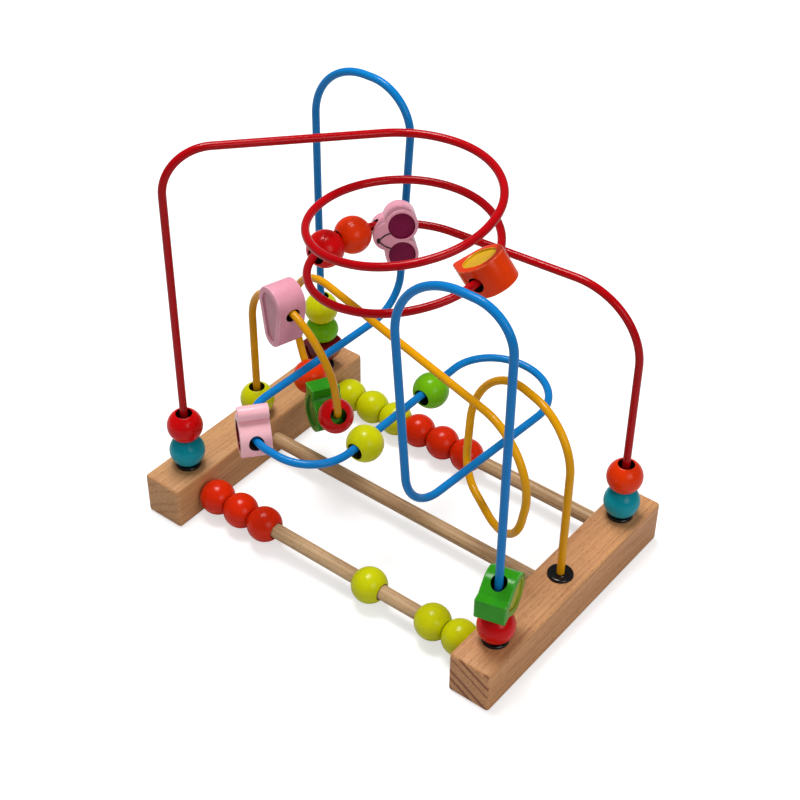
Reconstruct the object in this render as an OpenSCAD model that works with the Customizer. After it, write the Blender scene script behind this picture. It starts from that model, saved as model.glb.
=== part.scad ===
// Bead maze: two wooden feet, joined by three dowels, carry three bent wires.
// Drilled beads and fruit-shaped pieces ride on the dowels and on the wires.
// X runs from the left foot to the right foot, Y from front to back and Z up.
// The origin is the middle of the base, on the surface that it stands on.

/* [Base] */
// Length over both feet
base_length = 285; // [270:1:310]
// Width of a foot
foot_width = 30; // [26:1:36]
// Length of a foot, front to back
foot_length = 193; // [185:1:220]
// Height of a foot
foot_height = 32; // [30:1:40]
// Size of the eased edges of a foot
foot_ease = 2; // [1:0.5:4]
// Distance between neighbouring wire posts on a foot
post_pitch = 70; // [64:1:76]

/* [Dowels] */
// Diameter of a dowel
dowel_diameter = 10; // [8:0.5:10.2]
// Height of a dowel's axis above the ground
dowel_height = 16; // [15:0.5:18]
// Depth of a dowel's seat in a foot
dowel_seat = 12; // [8:1:14]

/* [Wire and bushings] */
// Diameter of a wire with its coating
wire_diameter = 5.2; // [4:0.1:5.6]
// Depth of a wire's end below the top of a foot
wire_seat = 8; // [6:1:10]
// Diameter of a bushing's flange
flange_diameter = 17; // [14:0.5:20]
// Height of a bushing's flange
flange_height = 2; // [1.5:0.1:3]
// Rounding of a flange's upper edge
flange_round = 1.5; // [0.5:0.1:1.5]
// Diameter of a bushing's shank in the foot
shank_diameter = 9; // [7:0.5:11]

/* [Beads] */
// Diameter of a bead
bead_diameter = 24; // [20:0.5:26]
// Length of a bead along its bore
bead_length = 20.8; // [17:0.1:21]
// Length of the flattened bead on the rear left post
flat_bead_length = 15.5; // [12:0.5:18]
// Bore of a bead
bead_bore = 11; // [10.4:0.1:12]
// Gap between neighbours at rest
rest_gap = 0.3; // [0.2:0.1:0.6]
// Least gap between a bore and what the piece hangs on
seat_gap = 0.3; // [0.2:0.1:0.6]
// Place of the single bead on the front dowel, from the middle
single_bead_place = 30; // [22:1:36]

/* [Fruit pieces] */
// Thickness of a fruit piece
piece_thickness = 20; // [18:0.5:22]
// Bore of a fruit piece
piece_bore = 10; // [9:0.1:11]
// Depth of the coloured pockets in both faces
pocket_depth = 1.2; // [0.6:0.1:2]
// Wall left between a piece's outline and its pocket
pocket_wall = 4; // [3:0.5:4.5]
// Radius of the apple's body
apple_radius = 14.5; // [13:0.5:15]
// Height of the apple's bore above its middle
apple_bore_rise = 4; // [2:0.5:5]
// Radius of the crown on top of the apple
crown_radius = 5; // [4:0.5:7]
// Depth to which the crown sinks into the apple
crown_sink = 1; // [0.5:0.5:3]
// Radius of the plum's upper end
plum_radius = 13; // [12:0.5:14]
// Radius of the plum's lower end
plum_tip_radius = 8.5; // [7:0.5:9]
// Distance between the centres of those ends
plum_stretch = 23.5; // [18:0.5:24]
// Depth of the plum's bore below the centre of its upper end
plum_bore_drop = 4.5; // [3:0.5:6]
// Radius of a pear's body
pear_radius = 13.5; // [12:0.5:14]
// Radius of a pear's neck
neck_radius = 6; // [5:0.5:7]
// Distance from a pear's middle to its neck
neck_reach = 13; // [11:0.5:14]
// Distance from a pear's middle to the end of its cap
cap_reach = 20.5; // [18:0.5:21]
// Width of the cap on a pear's neck
cap_width = 14; // [13:0.5:18]
// Length of the cap on a pear's neck
cap_length = 6.5; // [4:0.5:7]
// Distance of a pear's bore from its middle, towards the cap
pear_bore_reach = 6; // [3:0.5:7]
// Length of the strawberry along its bore
strawberry_length = 22; // [20:0.5:25]
// Radius of the strawberry's shoulders
shoulder_radius = 6.5; // [5:0.5:7.5]
// Distance of each shoulder's centre from the strawberry's bore
shoulder_reach = 5.5; // [4.5:0.5:7]
// Radius of the strawberry's tip
tip_radius = 7.5; // [7:0.5:9]
// Radius of the round part of the orange
orange_radius = 13.5; // [12:0.5:15]
// Length by which the orange is drawn out
orange_stretch = 4; // [2:0.5:8]
// Radius of the orange's pointed end
point_radius = 2.5; // [2:0.5:4]
// Distance from the orange's middle to its pointed end
point_reach = 19; // [17:0.5:21]
// Radius of each cherry
lobe_radius = 10.5; // [10:0.5:12]
// Distance of each cherry's centre from the middle between them
lobe_reach = 9.5; // [9:0.5:10]
// Height of the bore above that middle
cherry_bore_rise = 6; // [3:0.5:7]
// Distance along the bore from the cherries to the round end of their stems
stem_reach = 8.5; // [7:0.5:12]
// Radius of the stem end
stem_radius = 9.5; // [9:0.5:11]
// Depth of the stem end's middle below the bore
stem_drop = 3; // [0:0.5:3.5]
// Radius of a cherry's pocket
cherry_pocket_radius = 8.5; // [7:0.1:8.8]

/* [Coil wire] */
// Height of the bend above the left front post
coil_left_height = 275; // [250:1:278]
// Radius of that bend
coil_left_bend = 30; // [20:1:40]
// Radius of the coil
coil_radius = 57.5; // [52:0.5:60]
// Height of the coil's first turn
coil_height = 268.5; // [250:0.5:272]
// Drop of the coil in a full turn
coil_pitch = 32; // [29:0.5:34]
// Full turns of the coil
coil_turns = 2; // [1:1:2]
// Height of the bend above the right rear post
coil_right_height = 202; // [196:1:212]
// Radius of that bend
coil_right_bend = 48; // [36:1:52]
// Place of the orange, as a distance along the coil from its start
orange_place = 500; // [470:1:540]
// Roll of the orange about the wire
orange_roll = 33; // [0:1:45]
// Place of the cherries, as a distance back from the coil's end
cherry_place = 38; // [28:1:44]
// Lean of the cherries about the wire
cherry_lean = 12; // [0:1:25]

/* [Looped wire] */
// Height of the bends above the two middle posts
loop_post_height = 150; // [140:1:154]
// Radius of those bends
loop_post_bend = 36; // [30:1:38]
// Distance of a loop's inner top bend from the middle, along X
inner_top_x = 38; // [34:1:42]
// Distance of that bend from the middle, along Y
inner_top_y = 27; // [22:1:30]
// Radius of that bend
inner_top_bend = 40; // [34:1:42]
// Distance of a loop's inner bottom bend from the middle, along X
inner_low_x = 47; // [44:1:50]
// Distance of that bend from the middle, along Y
inner_low_y = 6; // [2:1:10]
// Height of that bend
inner_low_z = 68; // [64:1:72]
// Radius of that bend
inner_low_bend = 25; // [22:1:27]
// Distance of a loop's outer bottom bend from the middle, along X
outer_low_x = 109; // [106:1:114]
// Distance of that bend from the middle, along Y
outer_low_y = 29; // [26:1:32]
// Height of that bend
outer_low_z = 58; // [54:1:62]
// Radius of that bend
outer_low_bend = 37; // [32:1:38]
// Distance of a loop's outer top bend from the middle, along X
outer_top_x = 125; // [121:1:129]
// Distance of that bend from the middle, along Y
outer_top_y = 32; // [29:1:35]
// Height of that bend
outer_top_z = 152; // [148:1:156]
// Radius of that bend
outer_top_bend = 42; // [36:1:43]
// Place of the pear on the low run, from the run's middle towards its outer bend
pear_place = 4.5; // [0:0.5:6]
// Gap on each side of that pear
pear_play = 2.8; // [1:0.1:3]

/* [Winding wire] */
// Height of the arch above the left rear post
left_arch_height = 280; // [262:1:281]
// Radius of the left arch at its post
left_post_bend = 42; // [36:1:43]
// Distance of the left arch's leg from the middle, at its top
left_leg_top = 48; // [46:1:52]
// Radius of the left arch at its leg
left_leg_bend = 30; // [26:1:32]
// Distance of the left arch's leg from the middle, at its foot
left_leg_foot = 58; // [56:1:68]
// Height of the first run at its rear end
first_run_height = 117; // [108:1:118]
// Height of the first run at its front end
first_run_low = 103; // [100:1:110]
// Distance of the first run's front end from the middle, along X
first_run_x = 75; // [74:1:82]
// Distance of the front return from the middle, along Y
front_return = 84; // [80:1:87]
// Radius of the front return's bends
front_return_bend = 32; // [30:1:34]
// Height of the middle run
middle_run_height = 99; // [93:1:101]
// Distance of the rear return from the middle, along Y
rear_return = 90; // [84:1:94]
// Radius of the rear return's bends
rear_return_bend = 34; // [30:1:34]
// Distance of the last run's rear end from the middle, along X
last_run_x = 71; // [70:1:76]
// Height of the last run
last_run_height = 95; // [90:1:100]
// Radius of the bends from the runs up to the arches
leg_foot_bend = 28; // [20:1:30]
// Distance of the right arch's leg from the middle, at its foot
right_leg_foot = 60; // [54:1:66]
// Distance of the right arch's leg from the middle, at its top
right_leg_top = 45; // [42:1:48]
// Height of the arch above the right front post
right_arch_height = 272; // [255:1:280]
// Radius of the right arch at its leg
right_leg_bend = 44; // [36:1:46]
// Radius of the right arch at its post
right_post_bend = 26; // [20:1:28]
// Place of the apple, as a turn into the front return
return_apple_turn = 57; // [40:1:75]
// Place of the yellow bead, from the middle of the middle run
run_yellow_place = -37; // [-38:1:-20]
// Place of the lime bead, from the middle of the middle run
run_lime_place = 31; // [10:1:36]
// Roll of the pear about the right front post
post_pear_roll = 15; // [0:1:15]

/* [Hidden] */

// Smoothness of round shapes
$fn = 64;
hull_steps = 32;
round_steps = 6;

// How far a cut runs past the face that it opens
overrun = 1;

// Gap between a straight of a wire and its bend, and the sleeve that closes it: its extra diameter
// and how far it reaches to each side
joint_gap = 0.2;
joint_swell = 0.12;
joint_reach = 0.4;

// Share of the coil's radius that its bends take
coil_bend_share = 0.98;
// Bends in one turn of the coil
coil_bends = 8;
// Lean of the hand-wound coil, as rise over run
coil_lean_x_share = 0.07;
coil_lean_y_share = 0.06;

beech = "#c99c72";
dowel_wood = "#cdb28c";
coated_red = "#bf1620";
coated_yellow = "#eaab18";
coated_blue = "#2474b8";
black = "#161616";
scarlet = "#e02d0a";
red = "#cd1014";
yellow = "#d8dc1e";
teal = "#1a96aa";
lime = "#74be1e";
orange = "#e84a0a";
green = "#3ca028";
pink = "#e6a0b9";
crimson = "#7a0408";

post_x = (base_length - foot_width) / 2;
inner_face = base_length / 2 - foot_width;
post_seat = foot_height + flange_height + rest_gap;
wire_end = foot_height - wire_seat;
bead_step = bead_length + rest_gap;

// Direction helpers
up = [0, 0, 1];
function unit(v) = v / norm(v);
function across(v, along) = unit(v - (v * along) * along);

// A bent wire is a list of corner points p and a list of bend radii r, one for each corner
function leg(p, i) = unit(p[i + 1] - p[i]);
function turn(p, i) = acos(leg(p, i - 1) * leg(p, i));
function is_end(p, i) = i == 0 || i == len(p) - 1;
function set_back(p, r, i) = is_end(p, i) ? 0 : r[i] * tan(turn(p, i) / 2);
function leg_length(p, r, i) = norm(p[i + 1] - p[i]) - set_back(p, r, i) - set_back(p, r, i + 1);
function bend_length(p, r, i) = r[i] * turn(p, i) * PI / 180;
function bend_side(p, i) = across(leg(p, i), leg(p, i - 1));
function bend_start(p, r, i) = p[i] - leg(p, i - 1) * set_back(p, r, i);
function bend_centre(p, r, i) = bend_start(p, r, i) + bend_side(p, i) * r[i];

// A place on a wire is its point, heading, side towards the bend's centre, and bend radius
function on_leg(p, r, i, d) = [p[i] + leg(p, i) * (set_back(p, r, i) + d), leg(p, i), up, 0];
function on_bend(p, r, i, a) = [
    bend_centre(p, r, i) + r[i] * (sin(a) * leg(p, i - 1) - cos(a) * bend_side(p, i)),
    cos(a) * leg(p, i - 1) + sin(a) * bend_side(p, i),
    cos(a) * bend_side(p, i) - sin(a) * leg(p, i - 1),
    r[i]
];
// The place at a distance along the wire from corner i
function along(p, r, d, i = 0) =
    d <= leg_length(p, r, i) ? on_leg(p, r, i, d) :
    d <= leg_length(p, r, i) + bend_length(p, r, i + 1) ?
        on_bend(p, r, i + 1, (d - leg_length(p, r, i)) / r[i + 1] * 180 / PI) :
    along(p, r, d - leg_length(p, r, i) - bend_length(p, r, i + 1), i + 1);
// Distance along the wire from its start to the start of leg i
function run_to(p, r, i) =
    i == 0 ? 0 : run_to(p, r, i - 1) + leg_length(p, r, i - 1) + bend_length(p, r, i);

// Half the bow of the wire inside a bore, and the extra half width of the wire where it leaves aslant
function half_bow(place, length) =
    place[3] == 0 ? 0 : (place[3] - sqrt(pow(place[3], 2) - pow(length / 2, 2))) / 2;
function slant(place, length) =
    place[3] == 0 ? 0 : wire_diameter / 2 * (1 / cos(asin(length / 2 / place[3])) - 1);
// Centre of a piece that hangs on a place
function hanging(place, length, bore, lift = 0) =
    place[0] + place[2] * half_bow(place, length)
    - across(up, place[1])
    * ((bore - wire_diameter) / 2 - seat_gap - lift - slant(place, length) - half_bow(place, length));

// Route of the coil wire: left front post, coil, right rear post
post_distance = norm([post_x, post_pitch]);
coil_tangent = acos(coil_radius / post_distance);
coil_entry = 180 + atan2(post_pitch, post_x) - coil_tangent;
coil_exit = atan2(post_pitch, post_x) + coil_tangent;
coil_count = coil_turns * coil_bends + 1;
coil_step = (coil_turns * 360 + coil_entry - coil_exit) / coil_count;
function coil_point(angle, drop, radius) = [
    radius * cos(angle),
    radius * sin(angle),
    coil_height - drop + radius * (coil_lean_x_share * cos(angle) + coil_lean_y_share * sin(angle))
];
coil_route = concat(
    [[-post_x, -post_pitch, wire_end], [-post_x, -post_pitch, coil_left_height]],
    [for (k = [0 : coil_count - 1])
        coil_point(coil_entry - coil_step * (k + 1 / 2),
            coil_pitch * coil_step * (k + 1 / 2) / 360,
            coil_radius / cos(coil_step / 2))],
    [[post_x, post_pitch, coil_right_height], [post_x, post_pitch, wire_end]]
);
coil_bends_list = concat(
    [0, coil_left_bend],
    [for (k = [1 : coil_count]) coil_radius * coil_bend_share],
    [coil_right_bend, 0]
);
coil_start = run_to(coil_route, coil_bends_list, 1) + leg_length(coil_route, coil_bends_list, 1);
coil_end = run_to(coil_route, coil_bends_list, coil_count + 1);
// A place on the coil, with its side towards the coil's axis
function on_coil(d) = let (c = along(coil_route, coil_bends_list, d))
    [c[0], c[1], across([-c[0][0], -c[0][1], 0], c[1]), coil_radius];
// On the coil the ends of neighbours come closer on the inner side
bead_end = sqrt(bead_diameter * bead_diameter - bead_length * bead_length) / 2;
coil_room = coil_radius / (coil_radius - bead_end);
cherry_length = lobe_radius + stem_reach + stem_radius;
cherry_run = coil_end - cherry_place;
orange_bead_run = cherry_run - ((cherry_length + bead_length) / 2 + rest_gap) * coil_room;
red_bead_run = orange_bead_run - bead_step * coil_room;

// Route of the looped wire: the right half, and the same half turned about the middle axis
loop_half = [
    [post_x, 0, wire_end],
    [post_x, 0, loop_post_height],
    [inner_top_x, inner_top_y, loop_post_height],
    [inner_low_x, inner_low_y, inner_low_z],
    [outer_low_x, -outer_low_y, outer_low_z],
    [outer_top_x, -outer_top_y, outer_top_z]
];
loop_half_bends = [0, loop_post_bend, inner_top_bend, inner_low_bend, outer_low_bend, outer_top_bend];
half_count = len(loop_half);
loop_route = concat(
    [for (c = loop_half) [-c[0], -c[1], c[2]]],
    [for (i = [half_count - 1 : -1 : 0]) loop_half[i]]
);
loop_bends = concat(loop_half_bends, [for (i = [half_count - 1 : -1 : 0]) loop_half_bends[i]]);
// Corners of the left loop on that route
loop_top_leg = 1;
loop_low_leg = 3;
low_half = leg_length(loop_route, loop_bends, loop_low_leg) / 2;
pear_run = run_to(loop_route, loop_bends, loop_low_leg) + low_half + pear_place;
pear_to_bead = pear_radius + pear_play + bead_length / 2;
// The bends at the ends of the low run rise inside the pear's bore
pear_rise = max(
    pow(max(0, pear_radius + pear_place - low_half), 2) / outer_low_bend / 2,
    pow(max(0, pear_radius - pear_place - low_half), 2) / inner_low_bend / 2
);
// The apple's crown, as a distance from its bore, and the length of that bore
crown_reach = apple_radius + crown_radius - crown_sink - apple_bore_rise;
apple_bore_length = 2 * sqrt(apple_radius * apple_radius - apple_bore_rise * apple_bore_rise);
plum_run = run_to(loop_route, loop_bends, loop_top_leg)
    + leg_length(loop_route, loop_bends, loop_top_leg) / 2;

// Route of the winding wire: left rear post, arch, three runs, arch, right front post
winding_route = [
    [-post_x, post_pitch, wire_end],
    [-post_x, post_pitch, left_arch_height],
    [-left_leg_top, post_pitch, left_arch_height],
    [-left_leg_foot, post_pitch, first_run_height],
    [-first_run_x, -front_return, first_run_low],
    [0, -front_return, middle_run_height],
    [0, rear_return, middle_run_height],
    [last_run_x, rear_return, last_run_height],
    [right_leg_foot, -post_pitch, last_run_height],
    [right_leg_top, -post_pitch, right_arch_height],
    [post_x, -post_pitch, right_arch_height],
    [post_x, -post_pitch, wire_end]
];
winding_bends = [
    0, left_post_bend, left_leg_bend, leg_foot_bend, front_return_bend, front_return_bend,
    rear_return_bend, rear_return_bend, leg_foot_bend, right_leg_bend, right_post_bend, 0
];
front_return_corner = 4;
middle_run_leg = 5;
middle_run_start = set_back(winding_route, winding_bends, middle_run_leg) - front_return;

// A solid placed by its centre, the heading of its bore (Z) and a hint for its X axis
module placed(centre, heading, hint) {
    x = across(hint, heading);
    y = cross(heading, x);
    multmatrix([
        [x[0], y[0], heading[0], centre[0]],
        [x[1], y[1], heading[1], centre[1]],
        [x[2], y[2], heading[2], centre[2]]
    ]) children();
}

// A straight stops short of its bends, and a sleeve a hair thicker than the wire closes each gap
module straight(p, r, i) {
    heading = leg(p, i);
    start = is_end(p, i) ? 0 : joint_gap;
    end = is_end(p, i + 1) ? 0 : joint_gap;
    translate(on_leg(p, r, i, start)[0]) facing(heading)
        cylinder(d = wire_diameter, h = leg_length(p, r, i) - start - end);
    if (start > 0) translate(on_leg(p, r, i, 0)[0]) facing(heading) joint_sleeve();
    if (end > 0) translate(on_leg(p, r, i, leg_length(p, r, i))[0]) facing(heading) joint_sleeve();
}

module facing(heading) {
    rotate([0, acos(heading[2]), atan2(heading[1], heading[0])]) children();
}

module joint_sleeve() {
    cylinder(d = wire_diameter + joint_swell, h = 2 * joint_reach, center = true);
}

module bend(p, r, i) {
    axis = cross(leg(p, i - 1), bend_side(p, i));
    placed(bend_centre(p, r, i), axis, -bend_side(p, i))
        rotate_extrude(angle = turn(p, i))
            translate([r[i], 0]) circle(d = wire_diameter);
}

module bent_wire(p, r) {
    for (i = [0 : len(p) - 2]) straight(p, r, i);
    for (i = [1 : len(p) - 2]) bend(p, r, i);
}

// A rectangle with cut corners
module eased_rectangle(width, height) {
    a = width / 2;
    b = height / 2;
    polygon([
        [foot_ease - a, -b], [a - foot_ease, -b], [a, foot_ease - b], [a, b - foot_ease],
        [a - foot_ease, b], [foot_ease - a, b], [-a, b - foot_ease], [-a, foot_ease - b]
    ]);
}

// A foot with eased edges, three dowel seats on its inner side and three wire seats on top
module foot(side) {
    difference() {
        translate([side * post_x, 0, foot_height / 2]) intersection() {
            linear_extrude(foot_height, center = true) eased_rectangle(foot_width, foot_length);
            rotate([90, 0, 0])
                linear_extrude(foot_length, center = true) eased_rectangle(foot_width, foot_height);
            rotate([90, 0, 90])
                linear_extrude(foot_width, center = true) eased_rectangle(foot_length, foot_height);
        }
        for (row = [-1 : 1]) {
            dowel(row);
            translate([side * post_x, row * post_pitch, wire_end])
                cylinder(d = shank_diameter, h = wire_seat + overrun);
        }
    }
}

module dowel(row) {
    translate([0, row * post_pitch, dowel_height])
        rotate([0, 90, 0])
            cylinder(d = dowel_diameter, h = 2 * (inner_face + dowel_seat), center = true);
}

// A flanged bushing that lines a wire's seat
module bushing(side, row) {
    edge = flange_diameter / 2 - flange_round;
    translate([side * post_x, row * post_pitch, foot_height]) rotate_extrude() polygon(concat(
        [[wire_diameter / 2, -wire_seat], [shank_diameter / 2, -wire_seat],
         [shank_diameter / 2, 0], [flange_diameter / 2, 0]],
        [for (k = [0 : round_steps])
            [edge + flange_round * cos(90 * k / round_steps),
             flange_height - flange_round + flange_round * sin(90 * k / round_steps)]],
        [[wire_diameter / 2, flange_height]]
    ));
}

// A round bead about Z, whose side is an arc of the given radius
module turned_bead(length, arc_radius) {
    rotate_extrude() intersection() {
        translate([bead_diameter / 2 - arc_radius, 0]) circle(r = arc_radius);
        translate([bead_bore / 2, -length / 2]) square([bead_diameter, length]);
    }
}

module bead() {
    turned_bead(bead_length, bead_diameter / 2);
}

// A bead on a dowel, moved down onto it
module dowel_bead(x, row) {
    drop = (bead_bore - dowel_diameter) / 2 - seat_gap;
    translate([x, row * post_pitch, dowel_height - drop]) rotate([0, 90, 0]) bead();
}

function left_bead_x(n) = -inner_face + rest_gap + bead_length / 2 + (n - 1) * bead_step;

// A bead on a post, counted from the foot
module post_bead(side, row, n) {
    translate([side * post_x, row * post_pitch, post_seat + bead_length / 2 + (n - 1) * bead_step]) bead();
}

// A bead that hangs on a wire
module wire_bead(place) {
    placed(hanging(place, bead_length, bead_bore), place[1], up) bead();
}

// A fruit piece: the first child is its outline, the second the outline of its pockets.
// The outline's X axis stays X, and its Y axis becomes the bore's axis Z.
module fruit_piece(length) {
    difference() {
        rotate([90, 0, 0]) linear_extrude(piece_thickness, center = true) children(0);
        for (side = [-1, 1])
            translate([0, side * piece_thickness / 2, 0])
                rotate([90, 0, 0]) linear_extrude(2 * pocket_depth, center = true) children(1);
        cylinder(d = piece_bore, h = length + 2 * overrun, center = true);
    }
}

module apple() {
    fruit_piece(2 * apple_radius) {
        union() {
            translate([-apple_bore_rise, 0]) circle(r = apple_radius);
            translate([crown_reach, 0]) circle(r = crown_radius);
        }
        translate([-apple_bore_rise, 0]) circle(r = apple_radius - pocket_wall);
    }
}

module plum_outline(wall) {
    translate([plum_bore_drop, 0]) hull() {
        circle(r = plum_radius - wall, $fn = hull_steps);
        translate([-plum_stretch, 0]) circle(r = plum_tip_radius - wall, $fn = hull_steps);
    }
}

module plum() {
    fruit_piece(2 * plum_radius) {
        plum_outline(0);
        plum_outline(pocket_wall);
    }
}

module pear_outline(wall) {
    translate([-pear_bore_reach, 0]) hull() {
        circle(r = pear_radius - wall, $fn = hull_steps);
        translate([neck_reach, 0]) circle(r = neck_radius - wall, $fn = hull_steps);
    }
}

module pear() {
    fruit_piece(2 * pear_radius) {
        union() {
            pear_outline(0);
            translate([cap_reach - cap_length - pear_bore_reach, -cap_width / 2])
                square([cap_length, cap_width]);
        }
        pear_outline(pocket_wall);
    }
}

module strawberry_outline(wall) {
    hull() {
        for (side = [-1, 1])
            translate([side * shoulder_reach, strawberry_length / 2 - shoulder_radius])
                circle(r = shoulder_radius - wall, $fn = hull_steps);
        translate([0, tip_radius - strawberry_length / 2]) circle(r = tip_radius - wall, $fn = hull_steps);
    }
}

module strawberry() {
    fruit_piece(strawberry_length) {
        strawberry_outline(0);
        strawberry_outline(pocket_wall);
    }
}

module orange_body(wall) {
    for (end = [-1, 1])
        translate([end * orange_stretch / 2, 0]) circle(r = orange_radius - wall, $fn = hull_steps);
}

module orange_fruit() {
    fruit_piece(2 * orange_radius) {
        hull() {
            orange_body(0);
            translate([-point_reach, 0]) circle(r = point_radius, $fn = hull_steps);
        }
        hull() orange_body(pocket_wall);
    }
}

// Two cherries side by side, whose stems meet at one end of the bore
module cherries() {
    lobe_y = cherry_length / 2 - lobe_radius;
    fruit_piece(cherry_length) {
        union() {
            for (side = [-1, 1])
                translate([side * lobe_reach - cherry_bore_rise, lobe_y]) circle(r = lobe_radius);
            translate([-stem_drop - stem_radius, lobe_y - stem_reach])
                square([2 * stem_radius, stem_reach]);
            translate([-stem_drop, lobe_y - stem_reach]) circle(r = stem_radius);
        }
        for (side = [-1, 1])
            translate([side * lobe_reach - cherry_bore_rise, lobe_y]) circle(r = cherry_pocket_radius);
    }
}

module left_foot() { color(beech) foot(-1); }
module right_foot() { color(beech) foot(1); }
module front_dowel() { color(dowel_wood) dowel(-1); }
module middle_dowel() { color(dowel_wood) dowel(0); }
module rear_dowel() { color(dowel_wood) dowel(1); }
module coil_wire() { color(coated_red) bent_wire(coil_route, coil_bends_list); }
module looped_wire() { color(coated_yellow) bent_wire(loop_route, loop_bends); }
module winding_wire() { color(coated_blue) bent_wire(winding_route, winding_bends); }
module wire_bushing(side, row) { color(black) bushing(side, row); }

// Beads on the front dowel: three at the left foot, one alone, two at the right foot
module front_bead(n) {
    color(n <= 3 ? scarlet : yellow)
        dowel_bead(n <= 3 ? left_bead_x(n) : n == 4 ? single_bead_place : -left_bead_x(7 - n), -1);
}
// Beads on the rear dowel, in one row from the left foot
module rear_bead(n) { color(n <= 3 ? yellow : scarlet) dowel_bead(left_bead_x(n), 1); }

module coil_left_teal_bead() { color(teal) post_bead(-1, -1, 1); }
module coil_left_red_bead() { color(red) post_bead(-1, -1, 2); }
module coil_right_teal_bead() { color(teal) post_bead(1, 1, 1); }
module coil_right_orange_bead() { color(orange) post_bead(1, 1, 2); }
module coil_red_bead() { color(red) wire_bead(on_coil(red_bead_run)); }
module coil_orange_bead() { color(orange) wire_bead(on_coil(orange_bead_run)); }
module cherry_piece() {
    place = on_coil(cherry_run);
    color(pink) placed(hanging(place, cherry_length, piece_bore), place[1],
        up * cos(cherry_lean) - place[2] * sin(cherry_lean)) cherries();
}
module orange_piece() {
    place = on_coil(coil_start + orange_place);
    color(orange) placed(hanging(place, 2 * orange_radius, piece_bore), place[1],
        up * sin(orange_roll) - place[2] * cos(orange_roll)) orange_fruit();
}

module loop_lime_bead() { color(yellow) post_bead(-1, 0, 1); }
module loop_plum_piece() {
    place = along(loop_route, loop_bends, plum_run);
    color(pink) placed(hanging(place, 2 * plum_radius, piece_bore), place[1], up) plum();
}
module loop_red_bead() { color(red) wire_bead(along(loop_route, loop_bends, pear_run - pear_to_bead)); }
module loop_pear_piece() {
    place = along(loop_route, loop_bends, pear_run);
    color(green) placed(hanging(place, 2 * pear_radius, piece_bore, pear_rise), place[1], up) pear();
}
module loop_orange_bead() {
    color(orange) wire_bead(along(loop_route, loop_bends, pear_run + pear_to_bead));
}

post_lime_z = post_seat + strawberry_length + rest_gap + flat_bead_length / 2;
post_yellow_z = post_lime_z + (flat_bead_length + bead_length) / 2 + rest_gap;
module strawberry_piece() {
    color(crimson) translate([-post_x, post_pitch, post_seat + strawberry_length / 2]) strawberry();
}
module post_lime_bead() {
    color(lime) translate([-post_x, post_pitch, post_lime_z])
        turned_bead(flat_bead_length, flat_bead_length / 2);
}
module post_yellow_bead() {
    color(yellow) translate([-post_x, post_pitch, post_yellow_z]) bead();
}
module return_apple_piece() {
    place = on_bend(winding_route, winding_bends, front_return_corner, return_apple_turn);
    color(pink) placed(hanging(place, apple_bore_length, piece_bore), place[1], up) apple();
}
module run_bead(y) {
    wire_bead(on_leg(winding_route, winding_bends, middle_run_leg, y - middle_run_start));
}
module run_yellow_bead() { color(yellow) run_bead(run_yellow_place); }
module run_lime_bead() { color(lime) run_bead(run_lime_place); }
module post_red_bead() { color(red) post_bead(1, -1, 1); }
module post_pear_piece() {
    color(green)
        translate([post_x, -post_pitch, post_seat + bead_step + pear_radius])
            rotate([0, 0, post_pear_roll - 90]) pear();
}

left_foot();
right_foot();
front_dowel();
middle_dowel();
rear_dowel();
coil_wire();
looped_wire();
winding_wire();
wire_bushing(-1, -1);  // left_front_bushing
wire_bushing(-1, 0);  // left_middle_bushing
wire_bushing(-1, 1);  // left_rear_bushing
wire_bushing(1, -1);  // right_front_bushing
wire_bushing(1, 0);  // right_middle_bushing
wire_bushing(1, 1);  // right_rear_bushing
front_bead(1);  // front_bead_1
front_bead(2);  // front_bead_2
front_bead(3);  // front_bead_3
front_bead(4);  // front_bead_4
front_bead(5);  // front_bead_5
front_bead(6);  // front_bead_6
rear_bead(1);  // rear_bead_1
rear_bead(2);  // rear_bead_2
rear_bead(3);  // rear_bead_3
rear_bead(4);  // rear_bead_4
rear_bead(5);  // rear_bead_5
rear_bead(6);  // rear_bead_6
coil_left_teal_bead();
coil_left_red_bead();
coil_red_bead();
coil_orange_bead();
cherry_piece();
orange_piece();
coil_right_teal_bead();
coil_right_orange_bead();
loop_lime_bead();
loop_plum_piece();
loop_red_bead();
loop_pear_piece();
loop_orange_bead();
strawberry_piece();
post_lime_bead();
post_yellow_bead();
return_apple_piece();
run_yellow_bead();
run_lime_bead();
post_red_bead();
post_pear_piece();
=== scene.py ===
import math

import bmesh
import bpy
from mathutils import Matrix, Vector
from mathutils.geometry import tessellate_polygon


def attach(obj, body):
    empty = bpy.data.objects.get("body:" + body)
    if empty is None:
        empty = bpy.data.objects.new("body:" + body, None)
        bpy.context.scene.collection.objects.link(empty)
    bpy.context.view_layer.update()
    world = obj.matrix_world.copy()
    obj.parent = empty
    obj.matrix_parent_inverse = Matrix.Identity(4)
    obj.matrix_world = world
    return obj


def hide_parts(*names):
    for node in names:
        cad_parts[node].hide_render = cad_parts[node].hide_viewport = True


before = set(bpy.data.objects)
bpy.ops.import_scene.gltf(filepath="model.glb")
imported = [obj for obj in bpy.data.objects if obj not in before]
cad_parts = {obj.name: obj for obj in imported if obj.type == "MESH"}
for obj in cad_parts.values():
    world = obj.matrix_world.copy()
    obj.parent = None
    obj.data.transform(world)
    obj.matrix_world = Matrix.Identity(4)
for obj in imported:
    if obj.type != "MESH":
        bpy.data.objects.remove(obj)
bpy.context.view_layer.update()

MM = 0.001
UP = Vector((0, 0, 1))

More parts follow.
